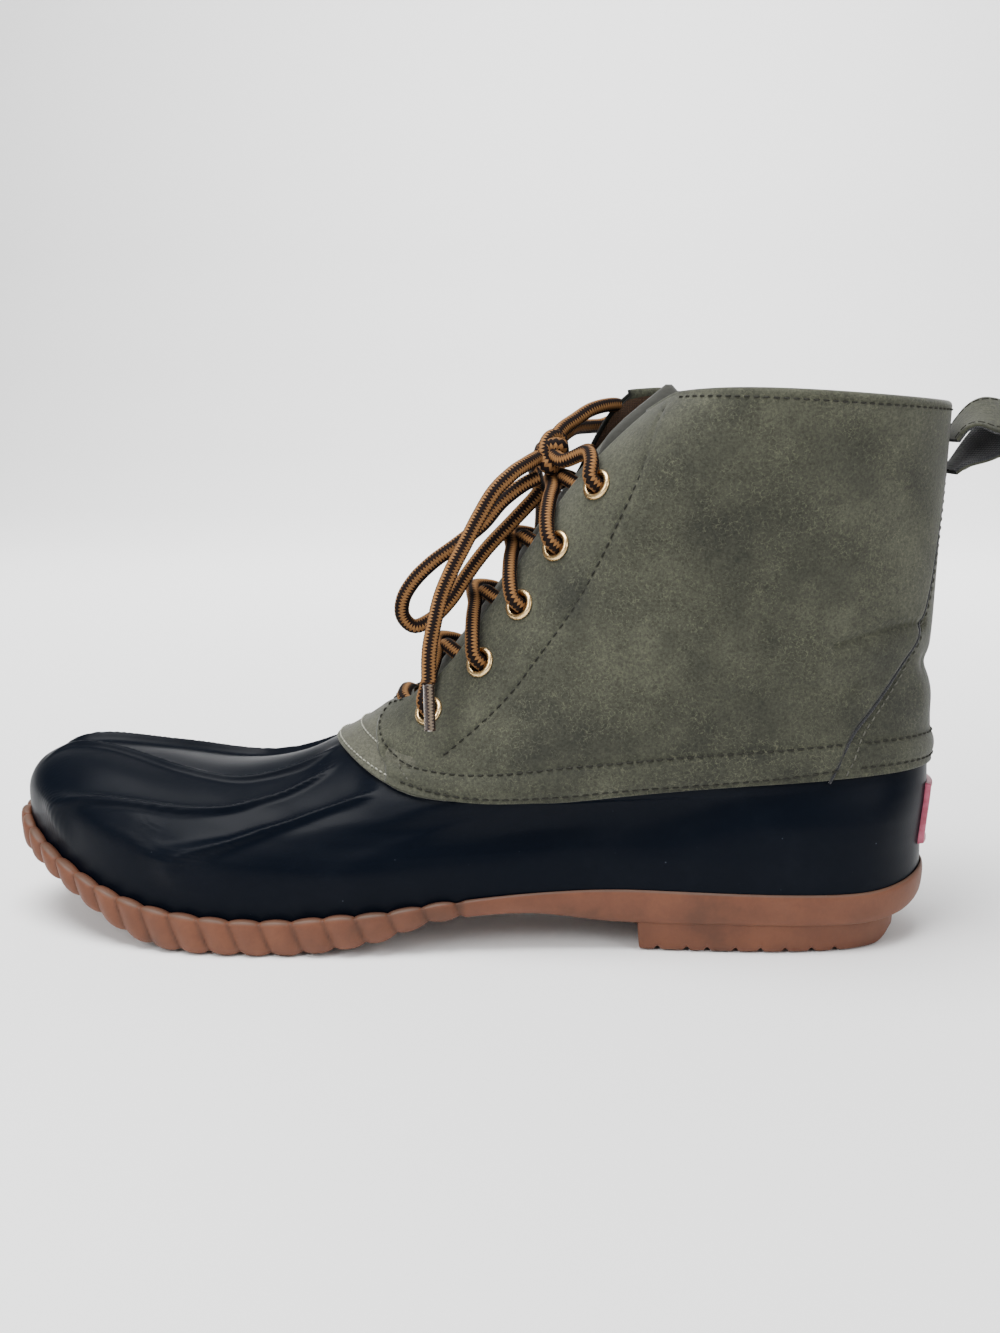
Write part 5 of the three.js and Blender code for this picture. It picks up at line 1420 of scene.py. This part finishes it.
def makePullLoop():
    rootLevel = levelAtHeight(0.0, loopShape["height"])
    stand = 0.6 + 1.5 + loopShape["thickness"] / 2
    root = form(0.0, rootLevel, stand)
    lowLevel = levelAtHeight(0.0, loopShape["height"] + loopShape["reach"] * loopRows[-1][1])
    lean = (form(0.0, lowLevel, stand)[0] - root[0]) / mm
    line = [(out * loopShape["reach"] + (lean * up / loopRows[-1][1] if up < 0 else 0), 0.0, up * loopShape["reach"])
            for out, up in loopRows]
    path = spline(np.array(line) * mm, 0.5 * mm)
    tangent = np.gradient(path, axis=0)
    tangent /= np.linalg.norm(tangent, axis=1, keepdims=True)
    outward = np.stack([-tangent[:, 2], 0 * tangent[:, 0], tangent[:, 0]], 1)
    half, wall = loopShape["width"] / 2, loopShape["thickness"] / 2
    # Section of the strap: sideways and outwards shares, leather outside and black inside
    leatherSide = [(-1.0, -0.1), (-1.02, 0.5), (-0.97, 0.9), (-0.9, 1.0), (-0.6, 1.06), (-0.3, 1.08), (0, 1.08),
                   (0.3, 1.08), (0.6, 1.06), (0.9, 1.0), (0.97, 0.9), (1.02, 0.5), (1.0, -0.1)]
    blackSide = [(1.0, -0.1), (0.98, -0.8), (0.9, -1.0), (0, -1.0), (-0.9, -1.0), (-0.98, -0.8), (-1.0, -0.1)]
    reachShare = np.clip(path[:, 0] / (loopShape["reach"] * mm), 0, 1)
    angle = np.radians(loopShape["twist"]) * smooth(0.0, 0.6, reachShare)
    pivot = np.array([0.0, 0.0, 0.3 * loopShape["reach"] * 0.5 * mm])

    def sweep(section):
        grid = np.stack([path + outward * share * wall * mm + np.array([0, 1.0, 0]) * across * half * mm
                         for across, share in section], 1)
        y, z = grid[..., 1], grid[..., 2] - pivot[2]
        turned = grid.copy()
        turned[..., 1] = y * np.cos(angle)[:, None] - z * np.sin(angle)[:, None]
        turned[..., 2] = pivot[2] + y * np.sin(angle)[:, None] + z * np.cos(angle)[:, None]
        return turned + root
    outerGrid = sweep(leatherSide)
    patches = [patch(outerGrid, 0), patch(sweep(blackSide), 1)]
    for column in (3, 9):  # stitches along both edges
        line = outerGrid[:, column]
        inward = outerGrid[:, 6] - line
        line = line + inward * 0.08
        walked = np.concatenate([[0], np.cumsum(np.linalg.norm(np.diff(line, axis=0), axis=1))]) / mm
        for number in range(int(walked[-1] // 2.7)):
            at = (number + 0.5) * 2.7 + np.linspace(-1, 1, 7)
            run = np.stack([np.interp(at, walked, line[:, axis]) for axis in range(3)], 1)
            patches.append(patch(plainTube(run, 0.28, 6), 2))
    return makePiece("pullLoop", patches, [materials["nubuck"], materials["blackCloth"], materials["darkThread"]],
                     ["pull_loop"])


makePullLoop()

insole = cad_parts["insole"]
insole.data.materials.clear()
insole.data.materials.append(materials["lining"])
print("small parts made")


# Floor and light

studio = {"floorSize": 3.0, "floor": (0.93, 0.93, 0.93, 1), "world": 0.4}


def makeFloor():
    size = studio["floorSize"]
    profile = [(-size, 0.0), (size * 0.5, 0.0), (size * 0.62, 0.02), (size * 0.74, 0.1), (size * 0.84, 0.26),
               (size * 0.92, 0.5), (size * 0.96, 0.9), (size, 3.0)]
    grid = np.array([[(x, y, z - 0.0004) for x in (-size, size)] for y, z in profile])
    mesh = bpy.data.meshes.new("floor")
    mesh.from_pydata(grid.reshape(-1, 3).tolist(), [], gridQuads(grid, 0, False).tolist())
    mesh.polygons.foreach_set("use_smooth", np.ones(len(mesh.polygons), bool))
    material, net, shader = newMaterial("paleFloor", 0.9, studio["floor"])
    place = net.add("ShaderNodeTexCoord").outputs["Object"]
    bumpFrom(net, shader, net.noise(place, 60.0, 2.0, 0.5), 0.0001, 0.2)
    mesh.materials.append(material)
    floor = bpy.data.objects.new("floor", mesh)
    bpy.context.collection.objects.link(floor)


def addLight(name, location, target, size, power):
    data = bpy.data.lights.new(name, "AREA")
    data.shape = "DISK"
    data.size = size
    data.energy = power
    light = bpy.data.objects.new(name, data)
    light.location = location
    light.rotation_euler = (Vector(target) - Vector(location)).to_track_quat("-Z", "Y").to_euler()
    bpy.context.collection.objects.link(light)


makeFloor()
world = bpy.data.worlds.new("studio")
world.use_nodes = True
world.node_tree.nodes["Background"].inputs["Color"].default_value = (1, 1, 1, 1)
world.node_tree.nodes["Background"].inputs["Strength"].default_value = studio["world"]
bpy.context.scene.world = world
addLight("softTop", (-0.3, -0.2, 1.3), (-0.08, 0, 0.05), 1.0, 34)
addLight("softKey", (-0.9, -1.1, 0.85), (-0.08, 0, 0.05), 0.8, 14)
addLight("softFill", (1.0, -1.0, 0.7), (-0.05, 0, 0.08), 0.8, 8)
addLight("wallLight", (0, 0.9, 1.6), (0, 2.7, 0.5), 1.2, 90)
print("studio made")
